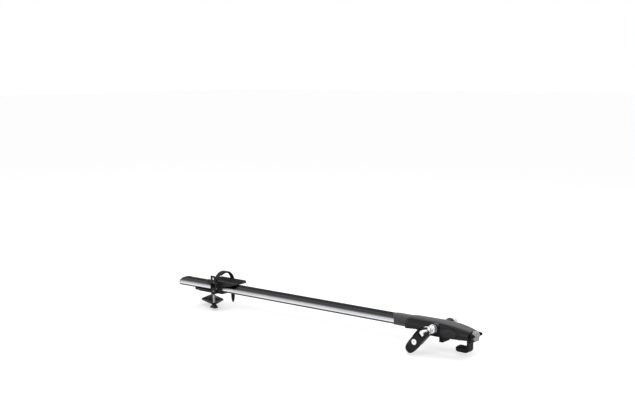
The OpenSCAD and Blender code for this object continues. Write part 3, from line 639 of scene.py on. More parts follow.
def make_tray_ends():
    """Rear cap and the collar in front of the head."""
    rear = TRAY_LOW.x
    bm = bmesh.new()
    loft(bm, [tray_ring(rear + x, grow) for x, grow in (
        (-0.02, 0.0), (-0.02, 0.4), (-2.0, 0.4), (-3.0, 0.0), (-3.7, -0.9), (-4.0, -2.2), (-4.0, -4.0),
        (-3.5, -4.5), (-3.5, -5.5))])
    finish_piece(bm, "tray_cap", "cap_plastic", "carrier", ["tray_end_cap"], sharp=50)

    low, high = box_mm("tray_collar")
    sweep, blunt = 0.84, 5.0
    bm = bmesh.new()

    def swept(step):
        return lambda y: low.x + sweep * (math.hypot(y, blunt) - blunt) + step

    rings = [tray_ring(swept(step), grow) for step, grow in (
        (0.0, 0.12), (0.0, 1.1), (0.35, 1.65), (1.1, 1.95), (2.0, 2.0), (7.0, 2.0), (7.6, 1.45),
        (9.0, 1.45), (9.6, 2.0))]
    rings += [tray_ring(high.x, 2.0), tray_ring(high.x, 0.12)]
    loft(bm, rings, ends=False, joined=True)
    finish_piece(bm, "collar", "cap_plastic", "carrier", ["tray_collar"], sharp=50)


def tray_mouth(x, point, room=2.25):
    """Point of the shell's rear wall moved to the opening round the tray."""
    reach = Vector((point.y, point.z - TRAY_MID))
    half, rise = TRAY_HALF + room, TRAY_RISE + room
    share = abs(reach.x / half) ** TRAY_POWER + abs(reach.y / rise) ** TRAY_POWER
    size = share ** (1 / TRAY_POWER)
    point = Vector((x, reach.x / size, TRAY_MID + reach.y / size))
    waist = line_at(x, WAIST)
    if point.z < waist:
        widest = half * (1 - (abs(waist - TRAY_MID) / rise) ** TRAY_POWER) ** (1 / TRAY_POWER)
        point = Vector((x, math.copysign(widest, reach.x), waist))
    return point


def make_head_shell():
    """Domed shell with a wall, a closed rear and rings round the hub's ends."""
    bm = bmesh.new()
    wall, turns, rows = 3.2, 64, 74
    rear_wall, nose = -182.7, 39.0

    def ring(x, outer, inner, at_tray=False):
        start, inner_start = foot_angle(x, outer), foot_angle(x, inner)
        points = [dome_point(x, start + (math.pi - 2 * start) * i / turns, outer) for i in range(turns + 1)]
        for i in range(turns, -1, -1):
            point = dome_point(x, inner_start + (math.pi - 2 * inner_start) * i / turns, inner)
            points.append(tray_mouth(x, point) if at_tray else point)
        return points

    sections = [ring(x, grow, -wall, True) for x, grow in (
        (HEAD_REAR, -0.6), (-185.7, -0.2), (-185, 0), (-182.8, 0))]
    sections += [ring(rear_wall + (nose - rear_wall) * i / rows, 0, -wall) for i in range(rows + 1)]
    sections += [ring(39.6, -0.5, -wall + 0.4), ring(HEAD_FRONT, -1.3, -wall + 1.0)]
    loft(bm, sections)
    for side in (-1, 1):
        turned(bm, [(12.3, 20.0), (12.6, 22.0), (15.6, 36.0), (16.6, 43.0), (16.9, 46.2), (16.5, 47.8),
                    (15.4, 48.6), (14.25, 48.6), (14.25, 46.1), (12.3, 46.1), (12.3, 20.0)],
               SKEWER, (0, side, 0), 72)
    finish_piece(bm, "head_dome", "shell_plastic", "carrier", ["head_shell"], sharp=45)


def rolled(reach):
    """Share of a rim's full rise at a share of its width, as a quarter circle."""
    return math.sqrt(max(0.0, 1 - (1 - reach) ** 2))


def make_head_cover():
    """Top cover with its rolled rim, and the dark seal under the rim."""
    step = bpy.context.scene.carrier_sizes.cover_step / MM
    rim_width, sunk = 2.2, 0.5
    rows = [HEAD_REAR + 3 * i for i in range(53)] + [-28 + 1.5 * i for i in range(25)]
    rows += [9 + 0.4 * i for i in range(26)] + [19.6 + 1.02 * i for i in range(21)]
    edge = []
    for i in range(400):
        x = HEAD_REAR + 204.4 * i / 399
        edge += [dome_point(x, rim_angle(x)), dome_point(x, math.pi - rim_angle(x))]
    tree = KDTree(len(edge))
    for i, point in enumerate(edge):
        tree.insert(point, i)
    tree.balance()
    bm = bmesh.new()

    def place(u, v):
        x = rows[round(u * (len(rows) - 1))]
        low = rim_angle(x)
        turn = low + (math.pi - 2 * low) * (1 - math.cos(math.pi * v)) / 2
        to_rim = tree.find(dome_point(x, turn))[2]
        reach = min(1.0, to_rim / rim_width, (HEAD_FRONT - x) / rim_width)
        return dome_point(x, turn, -sunk + (step + sunk) * rolled(reach))

    patch(bm, len(rows) - 1, 72, place)
    outward(bm, (0, 0, 1))
    thicken(bm, 1.4)
    finish_piece(bm, "head_cover", "cover_plastic", "carrier", ["head_top_cover"], sharp=45)

    bm = bmesh.new()
    count, seal_width = 160, 0.034
    for side in (1, -1):

        def seal(u, v, side=side):
            x = HEAD_REAR + 204.2 * round(u * count) / count
            turn = rim_angle(x) if side > 0 else math.pi - rim_angle(x)
            turn -= side * (v - 0.5) * seal_width
            return dome_point(min(x + (0.5 - v) * 0.6, 39.0), max(0.0, min(math.pi, turn)), 0.28)

        patch(bm, count, 2, seal)
    outward(bm, (0, 0, 1))
    thicken(bm, 0.5)
    finish_piece(bm, "cover_seal", "pad_rubber", "carrier", [])


def make_side_panels():
    """Oval panels let into the shell's sides."""
    middle_x, middle_z, half_x, half_z = -24, 15, 27.8, 12.3
    rim_width, sunk, rise = 2.4, 0.5, 1.1
    for name, node, side in (("panel_near", "side_panel_near", -1), ("panel_far", "side_panel_far", 1)):
        bm = bmesh.new()

        def place(u, v, side=side):
            a, b = 2 * u - 1, 2 * v - 1
            p, q = a * math.sqrt(1 - b * b / 2), b * math.sqrt(1 - a * a / 2)
            x, z = middle_x + half_x * p, middle_z + half_z * q
            inset = min(1.0, max(0.0, 1 - math.hypot(p, q)) * half_z / rim_width)
            return Vector((x, side * dome_side(x, z, -sunk + rise * rolled(inset)), z))

        patch(bm, 40, 32, place)
        outward(bm, (0, side, 0))
        thicken(bm, 1.4)
        finish_piece(bm, name, "shell_plastic", "carrier", [node], sharp=50, finish="panel_plastic")


def make_front_jaw():
    """Hooked jaw under the bar, with its guides and the two tongues beside the knob."""
    bm = bmesh.new()
    inner, front, top, low, turn, toe = 25.2, 31.5, 29.8, 44.0, 12.0, -14.0
    face = [(45.7, -7), (41.5, -9.4), (37.5, -11), (34.6, -12.6), (32.6, -15), (31.7, -18)]
    face += [(front - turn * (1 - math.cos(math.radians(t))), -low + turn * (1 - math.sin(math.radians(t))))
             for t in range(0, 91, 6)]
    under = [(toe + 8 + 8 * math.cos(math.radians(t)), -low + 9 - 9 * math.sin(math.radians(t)))
             for t in range(90, 181, 10)]
    hook = [(inner, -1), (45.7, -1)] + face + under + [(toe, -top), (inner, -top)]
    prism(bm, [(x, -15, z) for x, z in hook], (0, 30, 0))
    block(bm, (37.2, -23.9, -8.7), (45.3, 23.9, -1.3))
    block(bm, (32.0, -23.9, 2.9), (40.0, 23.9, 12.6))
    block(bm, (32.4, -15.0, 3.3), (39.6, 15.0, 19.0))
    tongue = [(33, 13), (40.6, 13), (41.2, 20.5), (49.7, 20), (56.5, 18), (58.7, 14.5), (56.1, 10.5),
              (45.7, 5.2), (45.7, -8), (41.2, -8), (41.2, 2.5), (33, 2.5)]
    for y in (18.2, -24.2):
        prism(bm, [(x, y, z) for x, z in tongue], (0, 6, 0))
        block(bm, (-30, y + 0.3, 4.9), (34.5, y + 5.7, 12.8))
    finish_piece(bm, "bar_jaw", "jaw_casting", "jaw", ["front_jaw"], rounding=0.0014)

    bm = bmesh.new()
    curve = face[4:] + under[1:6]
    middle = Vector((8.0, -24.0))
    arms = [Vector(point) - middle for point in curve]
    outline = [middle + arm * 1.02 for arm in arms] + [middle + arm * 0.95 for arm in reversed(arms)]
    for y in (-11.5, 1.5):
        prism(bm, [(p.x, y, p.y) for p in outline], (0, 10, 0))
    finish_piece(bm, "jaw_ribs", "jaw_casting", "jaw", [], rounding=0.0006)


def make_knob():
    """Light knob with finger flutes and a grip across its dished face."""
    bm = bmesh.new()
    flutes = bpy.context.scene.carrier_sizes.knob_flutes
    back, front, radius = 41.7, 54.7, 15.5

    def ring(x, size, depth):
        return [(x, a, KNOB_Z + b) for a, b in fluted(size, depth, flutes, 144)]

    loft(bm, [ring(x, size, depth) for x, size, depth in (
        (back - 1.5, 7.8, 0), (back, 8.2, 0), (back, 13.5, 0.9), (back + 0.5, 14.9, 1.3),
        (back + 1.6, radius, 1.4), (front - 3.6, radius, 1.4), (front - 1.8, 15.0, 1.2),
        (front - 0.6, 13.9, 0.7), (front, 12.4, 0.2), (front - 0.4, 11.4, 0),
        (front - 2.6, 10.6, 0), (front - 3.4, 8.6, 0), (front - 3.6, 3.0, 0))])
    grip = rounded([(-10.8, -2.2), (10.8, -2.2), (10.8, 2.2), (-10.8, 2.2)], 2.1, 6)
    loft(bm, [[(x, b * size, KNOB_Z + a * size) for a, b in grip]
              for x, size in (
                  (front - 4.5, 1.06), (front - 1.2, 1.0), (front - 0.5, 0.96), (front - 0.1, 0.86))])
    finish_piece(bm, "front_knob", "knob_plastic", "knob", ["jaw_knob"], sharp=60)


def thread(bm, centre, axis, radius, start, end, pitch=1.25):
    """Threaded rod: a profile of ridges turned about its axis."""
    profile = [(0.0, start), (radius - 0.8, start), (radius - 0.15, start + 0.7)]
    count = int((end - start - 2.5) / pitch)
    for i in range(count):
        along = start + 1.2 + i * pitch
        profile += [(radius - 0.55, along), (radius, along + pitch * 0.45), (radius, along + pitch * 0.6)]
    profile += [(radius - 0.5, end - 0.6), (radius - 0.9, end), (0.0, end)]
    turned(bm, profile, centre, axis, 28)


def make_screws():
    """Jaw screw and clamp stud with their threads."""
    low, high = box_mm("jaw_screw")
    bm = bmesh.new()
    thread(bm, (0, 0, KNOB_Z), (1, 0, 0), 4.0, low.x, high.x)
    finish_piece(bm, "front_screw", "steel", "knob", ["jaw_screw"], sharp=30)
    low, high = box_mm("clamp_stud")
    bm = bmesh.new()
    thread(bm, ((low.x + high.x) / 2, (low.y + high.y) / 2, 0), (0, 0, 1), 4.0, low.z, high.z)
    finish_piece(bm, "rear_stud", "steel", "carriage", ["clamp_stud"], sharp=30)


def finish_on_lever(bm, name, slot, nodes, sharp):
    """Finishes a piece made in the lever's own frame: X along the handle, Y along the pin, Z outwards."""
    c, s = math.cos(math.pi - LEVER_TILT), math.sin(math.pi - LEVER_TILT)
    frame_of_lever = Matrix((
        (c, s, 0, LEVER_PIN.x), (0, 0, -1, LEVER_PIN.y), (-s, c, 0, LEVER_PIN.z), (0, 0, 0, 1)))
    bmesh.ops.transform(bm, matrix=frame_of_lever, verts=bm.verts)
    finish_piece(bm, name, slot, "lever", nodes, sharp=sharp)


# The handle from its neck to its tip: place, half width, half thickness and middle height.
HANDLE = ((19, 17.6, 5.2, 1.6), (21, 18.6, 6.1, 1.5), (28, 18.9, 6.5, 1.5), (36, 18.9, 6.5, 1.5),
          (46, 18.9, 6.5, 1.5), (58, 18.6, 6.4, 1.6), (70, 17.8, 6.0, 1.9), (78, 16.4, 5.5, 2.2),
          (84, 14.2, 4.9, 2.4), (88, 11.0, 4.2, 2.5), (90.5, 7.6, 3.2, 2.6), (92, 2.8, 1.4, 2.6))


def handle_at(x, column):
    """One of the handle's sizes at a place along it."""
    return line_at(x, [(row[0], row[column]) for row in HANDLE])


def make_lever():
    """Cam lever: a rounded handle, cheeks, rails and webs at its head, finger ribs, lock bezel and pin."""
    bm = bmesh.new()
    neck, tip, rows, lean, squareness = 19, 92, 66, 1.4, 3.4
    sections = []
    for i in range(rows + 1):
        x = neck + (tip - neck) * (1 - (1 - i / rows) ** 1.6)
        half, thick, middle = (handle_at(x, column) for column in (1, 2, 3))
        sections.append([(x, y + lean, middle + z) for y, z in oval(half, thick, 64, squareness)])
    loft(bm, sections)
    cheek = rounded([(33, -4.6), (33, 7.4), (9, 9.4), (-3, 7.2), (-7.4, 2.2), (-8.0, -3), (-6.4, -8.0),
                     (-2.2, -10.9), (2.2, -10.9), (6.6, -8.4), (13, -6.4)], 3.0, 3)
    rail = rounded([(38, -4.0), (38, 8.0), (12, 11.2), (-2, 10.2), (-7.6, 6.6), (-9.4, 1.5), (-8.6, -3.5),
                    (-4, -6.6), (8, -6.6)], 3.0, 3)
    web = rounded([(33, -4.0), (33, 5.0), (10, 5.6), (-3, 4.6), (-5.6, 0.5), (-4, -5.0), (6, -6.0)], 2.0, 3)
    for outline, y, width in (
            (cheek, 7.5, 3.4), (cheek, -10.9, 3.4), (rail, 14.4, 5.8), (rail, -17.2, 2.8),
            (web, 10.6, 4), (web, -14.6, 4)):
        prism(bm, [(x, y, z) for x, z in outline], (0, width, 0))
    finish_on_lever(bm, "cam_lever", "lever_plastic", ["skewer_lever"], 48)

    bm = bmesh.new()
    ribs, first, pitch = 6, 62, 4.2
    for i in range(ribs):
        x = first + pitch * i
        half = handle_at(x, 1) * 0.62
        rib = rounded([(-half, -1.0), (half, -1.0), (half, 1.0), (-half, 1.0)], 0.95, 4)
        loft(bm, [[(x + b * size, a * (0.9 + 0.1 * size), z) for a, b in rib]
                  for z, size in ((6.4, 1.0), (8.1, 0.95), (8.55, 0.7))])
    finish_on_lever(bm, "lever_ribs", "lever_plastic", [], 60)

    bm = bmesh.new()
    lock_x = 46
    turned(bm, [(9.1, 1.0), (9.1, 8.3), (9.5, 8.9), (10.6, 9.2), (11.2, 8.8), (11.4, 8.2), (11.4, 0.0),
                (0.0, 0.0), (0.0, 1.0), (9.1, 1.0)], (lock_x, 0, 0), (0, 0, 1))
    finish_on_lever(bm, "lock_bezel", "lever_plastic", ["lock_body"], 50)

    bm = bmesh.new()
    turned(bm, [(0.0, -17.9), (2.2, -17.9), (2.98, -17.2), (2.98, 17.2), (2.2, 17.9), (0.0, 17.9)],
           (0, 0, 0), (0, 1, 0), 32)
    finish_on_lever(bm, "cam_pin", "steel", ["lever_pin"], 50)


def make_skewer_ends():
    """Clamp collar, barrel and the fluted nut on the far end."""
    bm = bmesh.new()
    turned(bm, [(4.6, 57.0), (11.4, 57.0), (12.2, 57.4), (12.5, 58.2), (12.5, 60.2), (12.1, 60.9),
                (10.2, 61.4), (9.2, 62.2), (9.0, 63.4), (9.0, 69.0), (8.5, 69.5), (8.5, 70.7), (9.0, 71.2),
                (9.0, 79.6), (9.6, 80.8), (11.4, 81.4), (13.3, 81.6), (14.0, 82.4), (14.0, 85.4),
                (13.4, 86.2), (12.6, 86.5), (4.6, 86.5), (4.6, 57.0)], SKEWER, (0, -1, 0), 72)
    finish_piece(bm, "skewer_clamp", "bright_steel", "collar", ["clamp_collar"], sharp=50)

    bm = bmesh.new()
    turned(bm, [(0.0, 113.9), (4.6, 113.9), (6.2, 113.3), (6.9, 112.2), (7.0, 111.0), (7.0, 91.0),
                (6.6, 90.0), (5.6, 89.7), (0.0, 89.7)], SKEWER, (0, -1, 0))
    finish_piece(bm, "cam_barrel", "bright_steel", "carrier", ["skewer_barrel"], sharp=50)

    bm = bmesh.new()
    flutes = 12
    rings = []
    for along, radius, depth in (
            (57.0, 4.6, 0), (57.0, 11.6, 0), (57.5, 12.4, 0), (60.4, 12.5, 0), (61.0, 11.8, 0.3),
            (61.6, 11.1, 1.0), (71.6, 11.0, 1.1), (72.6, 10.4, 0.7), (73.0, 9.4, 0.2), (73.0, 6.4, 0),
            (72.4, 5.4, 0), (71.6, 4.6, 0)):
        rings.append([SKEWER + Vector((a, along, b)) for a, b in fluted(radius, depth, flutes, 120)])
    loft(bm, rings, ends=False, joined=True)
    finish_piece(bm, "skewer_adjuster", "bright_steel", "nut", ["skewer_nut"], sharp=55)


# The cradle's lower side along X, and its upper side across from the rim to the middle.
CRADLE_FOOT = [(CRADLE_REAR, 38.9), (-1047, 31.9), (-1043, 26.0), (-1040, 22.3), (-1004, 22.3),
               (-1001, 26.0), (-997, 30.9), (-959, 37.9), (CRADLE_FRONT, 40.9)]
CRADLE_RIM = [(39.9, 38.0), (39.6, 41.2), (38.8, 45.4), (38.0, 48.4), (37.2, 49.9), (36.0, 50.7),
              (34.6, 50.9), (31.4, 50.9), (30.0, 50.6), (29.0, 49.8), (26.6, 48.2), (18.5, 43.0),
              (14.4, 40.3), (12.4, 39.5), (10.5, 39.3), (0, 39.3)]
TREAD = [(0, 40.9), (10.2, 40.95), (12.6, 41.5), (17.5, 43.8), (24, 48.0), (27, 49.8)]


def make_cradle():
    """Wheel cradle: a trough with rolled rims that narrows to the band over the tray."""
    bm = bmesh.new()
    rows, steps, lip, room = 90, 40, 1.2, 0.4
    rear_round, front_round, widest, crest = 8, 9, 39.9, 50.9
    length = CRADLE_FRONT - CRADLE_REAR
    sections = []
    for i in range(rows + 1):
        x = CRADLE_REAR + length * (1 - math.cos(math.pi * i / rows)) / 2
        foot = line_at(x, CRADLE_FOOT)
        end = max(0.0, min(1.0, (x - CRADLE_REAR) / rear_round, (CRADLE_FRONT - x) / front_round))
        top = foot + lip + (crest - foot - lip) * rolled(end)
        pull = 1.0 - 0.10 * (1 - end) ** 2
        upper = [(y * pull, max(min(z, top), foot + lip / 2)) for y, z in CRADLE_RIM]
        upper = upper + [(-y, z) for y, z in reversed(upper[:-1])]
        under = []
        for k in range(steps + 1):
            y = -widest * pull * math.cos(math.pi * k / steps)
            skin = tray_skin(y, room) if abs(y) < TRAY_HALF + room else foot
            under.append((y, max(foot, skin)))
        sections.append([(x, y, z) for y, z in upper + under])
    loft(bm, sections)
    finish_piece(bm, "cradle", "holder_plastic", "carriage", ["wheel_cradle"], sharp=45)

    bm = bmesh.new()
    ribs = bpy.context.scene.carrier_sizes.pad_ribs
    start, long, half, sunk, rib_rise = -1069, 114, 27, 0.2, 0.45

    def tread(u, v):
        y = half * (2 * v - 1)
        rise = rib_rise * (0.5 - 0.5 * math.cos(2 * math.pi * ribs * u)) ** 2
        return Vector((start + long * u, y, line_at(abs(y), TREAD) - sunk + rise))

    patch(bm, 152, 28, tread)
    outward(bm, (0, 0, 1))
    thicken(bm, 1.0)
    finish_piece(bm, "cradle_tread", "pad_rubber", "carriage", ["cradle_pad"], sharp=60)


def strap_path():
    """Middle line of the wheel strap as (y, z) points, from its eye over the arch to its free end."""
    reach, wrap, radius = 2 * ANCHOR.x, math.radians(4), ANCHOR.x - 1.9
    near = ANCHOR + circle_point(math.pi - wrap, reach)
    centre = near + circle_point(-wrap, radius)
    pull = ANCHOR - centre
    start = math.atan2(pull.y, pull.x) + math.acos(radius / pull.length)
    rise = centre + circle_point(start, radius) - ANCHOR
    path = [ANCHOR + rise * k / 8 for k in range(1, 8)]
    path += [centre + circle_point(start + (math.pi - wrap - start) * k / 60, radius) for k in range(61)]
    path += [ANCHOR + circle_point(math.pi - wrap + (wrap + math.radians(10)) * k / 24, reach)
             for k in range(1, 25)]
    return path


def ribbon(bm, path, half, thick, taper):
    """Flat strap with rounded edges along a path in a plane across the tray, narrowed at its end."""
    edge = thick / 2
    outline = rounded([(-half, -edge), (half, -edge), (half, edge), (-half, edge)], thick * 0.48, 4)
    last = len(path) - 1
    sections = []
    for i, point in enumerate(path):
        ahead = (path[min(i + 1, last)] - path[max(i - 1, 0)]).normalized()
        normal = Vector((ahead.y, -ahead.x))
        left = last - i
        size = 1.0 if left >= taper else max(0.25, math.sqrt((left + 0.6) / (taper + 0.6)))
        sections.append([
            (BAND_X + a * size, point.x + normal.x * b, point.y + normal.y * b) for a, b in outline])
    loft(bm, sections)


def make_strap():
    """Wheel strap with its eye and ladder of teeth, and the tail that hangs on the far side."""
    bm = bmesh.new()
    half, thick = 10.0, 2.6
    ribbon(bm, strap_path(), half, thick, 3)
    turned(bm, [(2.06, -half), (4.2, -half), (4.5, -9.7), (4.5, 9.7), (4.2, half), (2.06, half),
                (2.06, -half)], (BAND_X, ANCHOR.x, ANCHOR.y), (1, 0, 0), 32)
    root = 2 * ANCHOR.x + 1.0
    teeth, first, step, tooth_half, height = 13, math.radians(172), math.radians(1.24), 7.5, 1.05
    for k in range(teeth):
        along = circle_point(first + step * k)
        across = Vector((-along.y, along.x))
        foot = ANCHOR + along * root
        crest = foot + along * height
        tooth = [foot - across * 0.5, crest - across * 0.5, crest - across * 0.15, foot + across * 0.75]
        prism(bm, [(BAND_X - tooth_half, p.x, p.y) for p in tooth], (2 * tooth_half, 0, 0))
    finish_piece(bm, "strap", "strap_plastic", "strap", ["wheel_strap"], sharp=45)

    bm = bmesh.new()
    low, high = box_mm("strap_tail")
    middle, steps = (low.y + high.y) / 2, 30
    drop = [Vector((middle, high.z - (high.z - low.z) * k / steps)) for k in range(steps + 1)]
    ribbon(bm, drop, (high.x - low.x) / 2, high.y - low.y, 8)
    finish_piece(bm, "strap_end", "strap_plastic", "carriage", ["strap_tail"], sharp=45)


def make_buckle():
    """Buckle lever: a loop with an open window on a round pivot."""
    bm = bmesh.new()
    half, window, overlap, pivot = 10.7, 4.5, 0.1, 4.0
    right = [(0, pivot), (10, 1.0), (28, -4.0)]
    left = [(0, -pivot), (26, -7.0)]
    base = [circle_point(math.radians(t), pivot) for t in range(180, 361, 15)]
    side = base + [(y, z) for z, y in (*right[1:], left[1])]
    slices = [[(line_at(bottom, right), bottom), (line_at(top, right), top),
               (line_at(top, left), min(top, 26.6)), (line_at(bottom, left), bottom)]
              for bottom, top in ((20, 28), (2.5, 10))]
    bar = window + overlap
    for outline, low, high in (
            (side, -half, -window), (side, window, half), (slices[0], -bar, bar), (slices[1], -bar, bar)):
        prism(bm, [(BAND_X + low, LATCH.x + y, LATCH.y + z) for y, z in outline], (high - low, 0, 0))
    finish_piece(bm, "latch_loop", "holder_plastic", "latch", ["buckle_lever"], rounding=0.0008)


def make_rear_knob():
    """T-shaped knob under the rear clamp."""
    bm = bmesh.new()
    low, high = box_mm("rear_knob")
    x, y = (low.x + high.x) / 2, (low.y + high.y) / 2
    half, neck = (high.x - low.x) / 2, 7.4
    wing = [(-half, low.z), (half, low.z), (half, low.z + 4.2), (half - 3, low.z + 6.0), (neck, high.z - 2.8),
            (-neck, high.z - 2.8), (-half + 3, low.z + 6.0), (-half, low.z + 4.2)]
    prism(bm, [(x + a, y - 7, z) for a, z in rounded(wing, 3.0, 4)], (0, 14, 0))
    turned(bm, [(0, low.z + 0.5), (7.2, low.z + 0.5), (7.5, high.z - 0.8), (6.8, high.z), (4.1, high.z),
                (4.1, low.z + 2), (0, low.z + 2)], (x, y, 0), (0, 0, 1), 48)
    finish_piece(bm, "rear_wing_knob", "holder_plastic", "t_knob", ["rear_knob"], rounding=0.0016)


# Nodes that stay as they are, by the rounding of their edges in metres.
KEPT = {
    0.0002: ("dropout_cup_near", "dropout_cup_far", "carriage_pin_near", "carriage_pin_far"),
    0.0003: ("shell_screw_near", "shell_screw_far", "lock_plug", "strap_pin", "latch_pin", "pawl_pin"),
    0.0004: ("front_jaw_pad", "buckle_pawl", "tray_nut_bar", "tray_bolt_front", "tray_bolt_rear",
             "jaw_screw_nut", "skewer_rod"),
    0.0005: ("front_bar_pad", "hook_pad", "rear_bar_pad", "rear_jaw_pad", "guide_post"),
    0.0006: ("buckle_frame", "strap_anchor"),
    0.0008: ("rim_guard",),
    0.0009: ("head_base", "carriage_saddle"),
    0.0012: ("rear_jaw",),
}


def finish_solids():
    """Materials and rounded edges on the nodes that stay as they are."""
    slots = {part["node"]: part["material_slot"] for part in frame["record"]["subparts"]}
    group = bpy.data.node_groups.new("smooth shading", "GeometryNodeTree")
    for way in ("INPUT", "OUTPUT"):
        group.interface.new_socket("Geometry", in_out=way, socket_type="NodeSocketGeometry")
    steps = Nodes(group)
    entry = steps.node("NodeGroupInput", {}, {})
    smooth = steps.node("GeometryNodeSetShadeSmooth", {}, {"Geometry": entry})
    steps.node("NodeGroupOutput", {}, {"Geometry": smooth})
    for width, name in ((width, name) for width, names in KEPT.items() for name in names):
        node = frame["nodes"][name]
        for slot in node.material_slots:
            slot.material = finishes()[slots[name]]
        weld = node.modifiers.new("weld", "WELD")
        weld.merge_threshold = 0.00001
        flat = node.modifiers.new("flats", "DECIMATE")
        flat.decimate_type = "DISSOLVE"
        flat.angle_limit = math.radians(1.0)
        shade = node.modifiers.new("smooth", "NODES")
        shade.node_group = group
        add_rounding(node, width, 2, 40.0)


class CARRIER_OT_tray(Operator):
    """Tray, strip, rear cap and collar."""

    bl_idname = "carrier.tray"
    bl_label = "Tray"

    def execute(self, context):
        make_tray()
        make_strip()
        make_tray_ends()
        return {"FINISHED"}


class CARRIER_OT_head(Operator):
    """Shell, top cover and side panels of the head."""

    bl_idname = "carrier.head"
    bl_label = "Head"

    def execute(self, context):
        make_head_shell()
        make_head_cover()
        make_side_panels()
        return {"FINISHED"}


class CARRIER_OT_front_clamp(Operator):
    """Bar jaw, knob and threaded screws."""

    bl_idname = "carrier.front_clamp"
    bl_label = "Front clamp"

    def execute(self, context):
        make_front_jaw()
        make_knob()
        make_screws()
        return {"FINISHED"}


class CARRIER_OT_skewer(Operator):
    """Cam lever, clamp collar, barrel and adjusting nut."""

    bl_idname = "carrier.skewer"
    bl_label = "Skewer"

    def execute(self, context):
        make_lever()
        make_skewer_ends()
        return {"FINISHED"}


class CARRIER_OT_wheel_holder(Operator):
    """Cradle, strap, buckle and rear knob."""

    bl_idname = "carrier.wheel_holder"
    bl_label = "Wheel holder"

    def execute(self, context):
        make_cradle()
        make_strap()
        make_buckle()
        make_rear_knob()
        return {"FINISHED"}


class CARRIER_OT_solids(Operator):
    """Finishes on the nodes that stay."""

    bl_idname = "carrier.solids"
    bl_label = "Kept solids"

    def execute(self, context):
        finish_solids()
        return {"FINISHED"}


def photo_camera():
    """Camera at the photograph's angle, from a fit to its lines, in metres."""
    azimuth, elevation, roll = math.radians(40.13), math.radians(7.73), math.radians(-0.43)
    place = (1.65839, -2.64713, 0.81417)
    focal_pixels, image_width, sensor = 1040.8, 635.0, 36.0
    level = math.cos(elevation)
    back = Vector((math.sin(azimuth) * level, -math.cos(azimuth) * level, math.sin(elevation)))
    right = Vector((math.cos(azimuth), math.sin(azimuth), 0.0))
    up = back.cross(right)
    turned_right = right * math.cos(roll) + up * math.sin(roll)
    turned_up = up * math.cos(roll) - right * math.sin(roll)
    lens = bpy.data.cameras.new("camera")
    lens.sensor_fit = "HORIZONTAL"
    lens.sensor_width = sensor
    lens.lens = focal_pixels * sensor / image_width
    lens.clip_end = 100.0
    camera = bpy.data.objects.new("camera", lens)
    rows = [*zip(turned_right, turned_up, back, place), (0, 0, 0, 1)]
    camera.matrix_world = Matrix(rows)
    bpy.context.scene.collection.objects.link(camera)
    bpy.context.scene.camera = camera


def soft_box(name, place, target, size, power):
    """Area light that looks at a point."""
    light = bpy.data.lights.new(name, "AREA")
    light.shape = "RECTANGLE"
    light.size, light.size_y = size
    light.energy = power
    lamp = bpy.data.objects.new(name, light)
    lamp.location = place
    lamp.rotation_euler = (Vector(target) - Vector(place)).to_track_quat("-Z", "Y").to_euler()
    bpy.context.scene.collection.objects.link(lamp)


def studio_sky(scene):
    """Sky that lights the scene softly and reads as white."""
    world = bpy.data.worlds.new("studio")
    scene.world = world
    world.use_nodes = True
    tree = world.node_tree
    tree.nodes.remove(tree.nodes["Background"])
    sky = Nodes(tree)
    white, soft_strength = (1.0, 1.0, 1.0, 1.0), 0.62
    soft, bright = (
        sky.node("ShaderNodeBackground", {}, {"Color": white, "Strength": strength})
        for strength in (soft_strength, 1.0))
    mix = sky.node("ShaderNodeMixShader", {}, {0: sky.seen(), 1: soft, 2: bright})
    tree.links.new(mix.socket, tree.nodes["World Output"].inputs["Surface"])


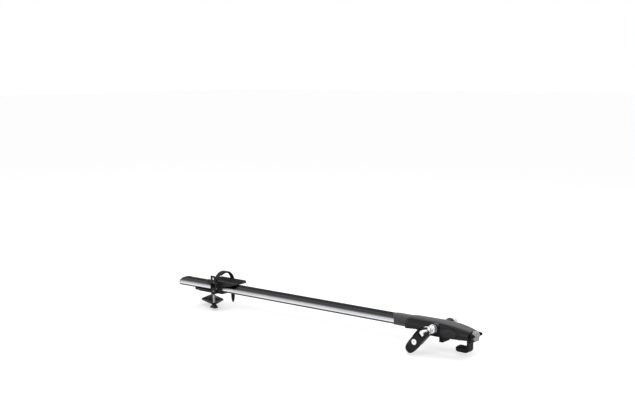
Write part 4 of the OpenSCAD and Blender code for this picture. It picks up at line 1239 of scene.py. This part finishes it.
def studio_floor():
    """Pale floor that reads as white to the camera and keeps the shadow."""
    bm = bmesh.new()
    bmesh.ops.create_grid(bm, x_segments=2, y_segments=2, size=30.0)
    room = 0.0095  # the rear jaw drops by 9 mm
    bmesh.ops.translate(bm, vec=(-0.55, 0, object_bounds()[0][2] - room), verts=bm.verts)
    mesh = bpy.data.meshes.new("floor")
    bm.to_mesh(mesh)
    bm.free()
    made = Finish("studio floor", specular=0.2)
    cloud = made.noise(0.8, 2.0)
    shade = tuple(bpy.context.scene.carrier_colours.floor)
    made.feed("Base Color", made.blend(made.ramp(cloud, 0.3, 0.7), scaled(shade, 0.995), shade))
    made.shader.inputs["Roughness"].default_value = 0.9
    made.shader.inputs["Emission Strength"].default_value = 1.0
    made.feed("Emission Color", made.blend(made.seen(), (0.0, 0.0, 0.0), (0.42, 0.42, 0.42)))
    mesh.materials.append(made.material)
    floor = bpy.data.objects.new("floor", mesh)
    bpy.context.scene.collection.objects.link(floor)
    floor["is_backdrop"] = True


class CARRIER_OT_stage(Operator):
    """Camera, soft studio light, sky and floor."""

    bl_idname = "carrier.stage"
    bl_label = "Stage"

    def execute(self, context):
        scene = context.scene
        scene.view_settings.view_transform = "Standard"
        photo_camera()
        studio_floor()
        soft_box("key", (1.2, -2.6, 2.6), (-0.5, 0, 0), (2.2, 1.2), 45.0)
        soft_box("fill", (-2.6, -2.2, 1.8), (-0.6, 0, 0), (1.6, 1.2), 14.0)
        soft_box("rim", (-0.6, 2.6, 2.2), (-0.6, 0, 0), (2.6, 0.8), 22.0)
        studio_sky(scene)
        return {"FINISHED"}


class CARRIER_PT_panel(Panel):
    """Lists the carrier's steps, sizes and colours."""

    bl_idname = "CARRIER_PT_panel"
    bl_label = "Bike carrier"
    bl_space_type = "VIEW_3D"
    bl_region_type = "UI"
    bl_category = "Carrier"

    def draw(self, context):
        for step in STEPS:
            self.layout.operator(step.bl_idname)
        for group in (context.scene.carrier_sizes, context.scene.carrier_colours):
            column = self.layout.column()
            for key in type(group).__annotations__:
                column.prop(group, key)


STEPS = (
    CARRIER_OT_stage, CARRIER_OT_tray, CARRIER_OT_head, CARRIER_OT_front_clamp, CARRIER_OT_skewer,
    CARRIER_OT_wheel_holder, CARRIER_OT_solids)
CLASSES = (CarrierSizes, CarrierColours, *STEPS, CARRIER_PT_panel)


def register():
    for part in CLASSES:
        bpy.utils.register_class(part)
    bpy.types.Scene.carrier_sizes = PointerProperty(type=CarrierSizes)
    bpy.types.Scene.carrier_colours = PointerProperty(type=CarrierColours)


def unregister():
    del bpy.types.Scene.carrier_colours
    del bpy.types.Scene.carrier_sizes
    for part in reversed(CLASSES):
        bpy.utils.unregister_class(part)


def main():
    register()
    bpy.ops.carrier.stage()
    bpy.ops.carrier.tray()
    bpy.ops.carrier.head()
    bpy.ops.carrier.front_clamp()
    bpy.ops.carrier.skewer()
    bpy.ops.carrier.wheel_holder()
    bpy.ops.carrier.solids()


if __name__ == "__main__":
    main()
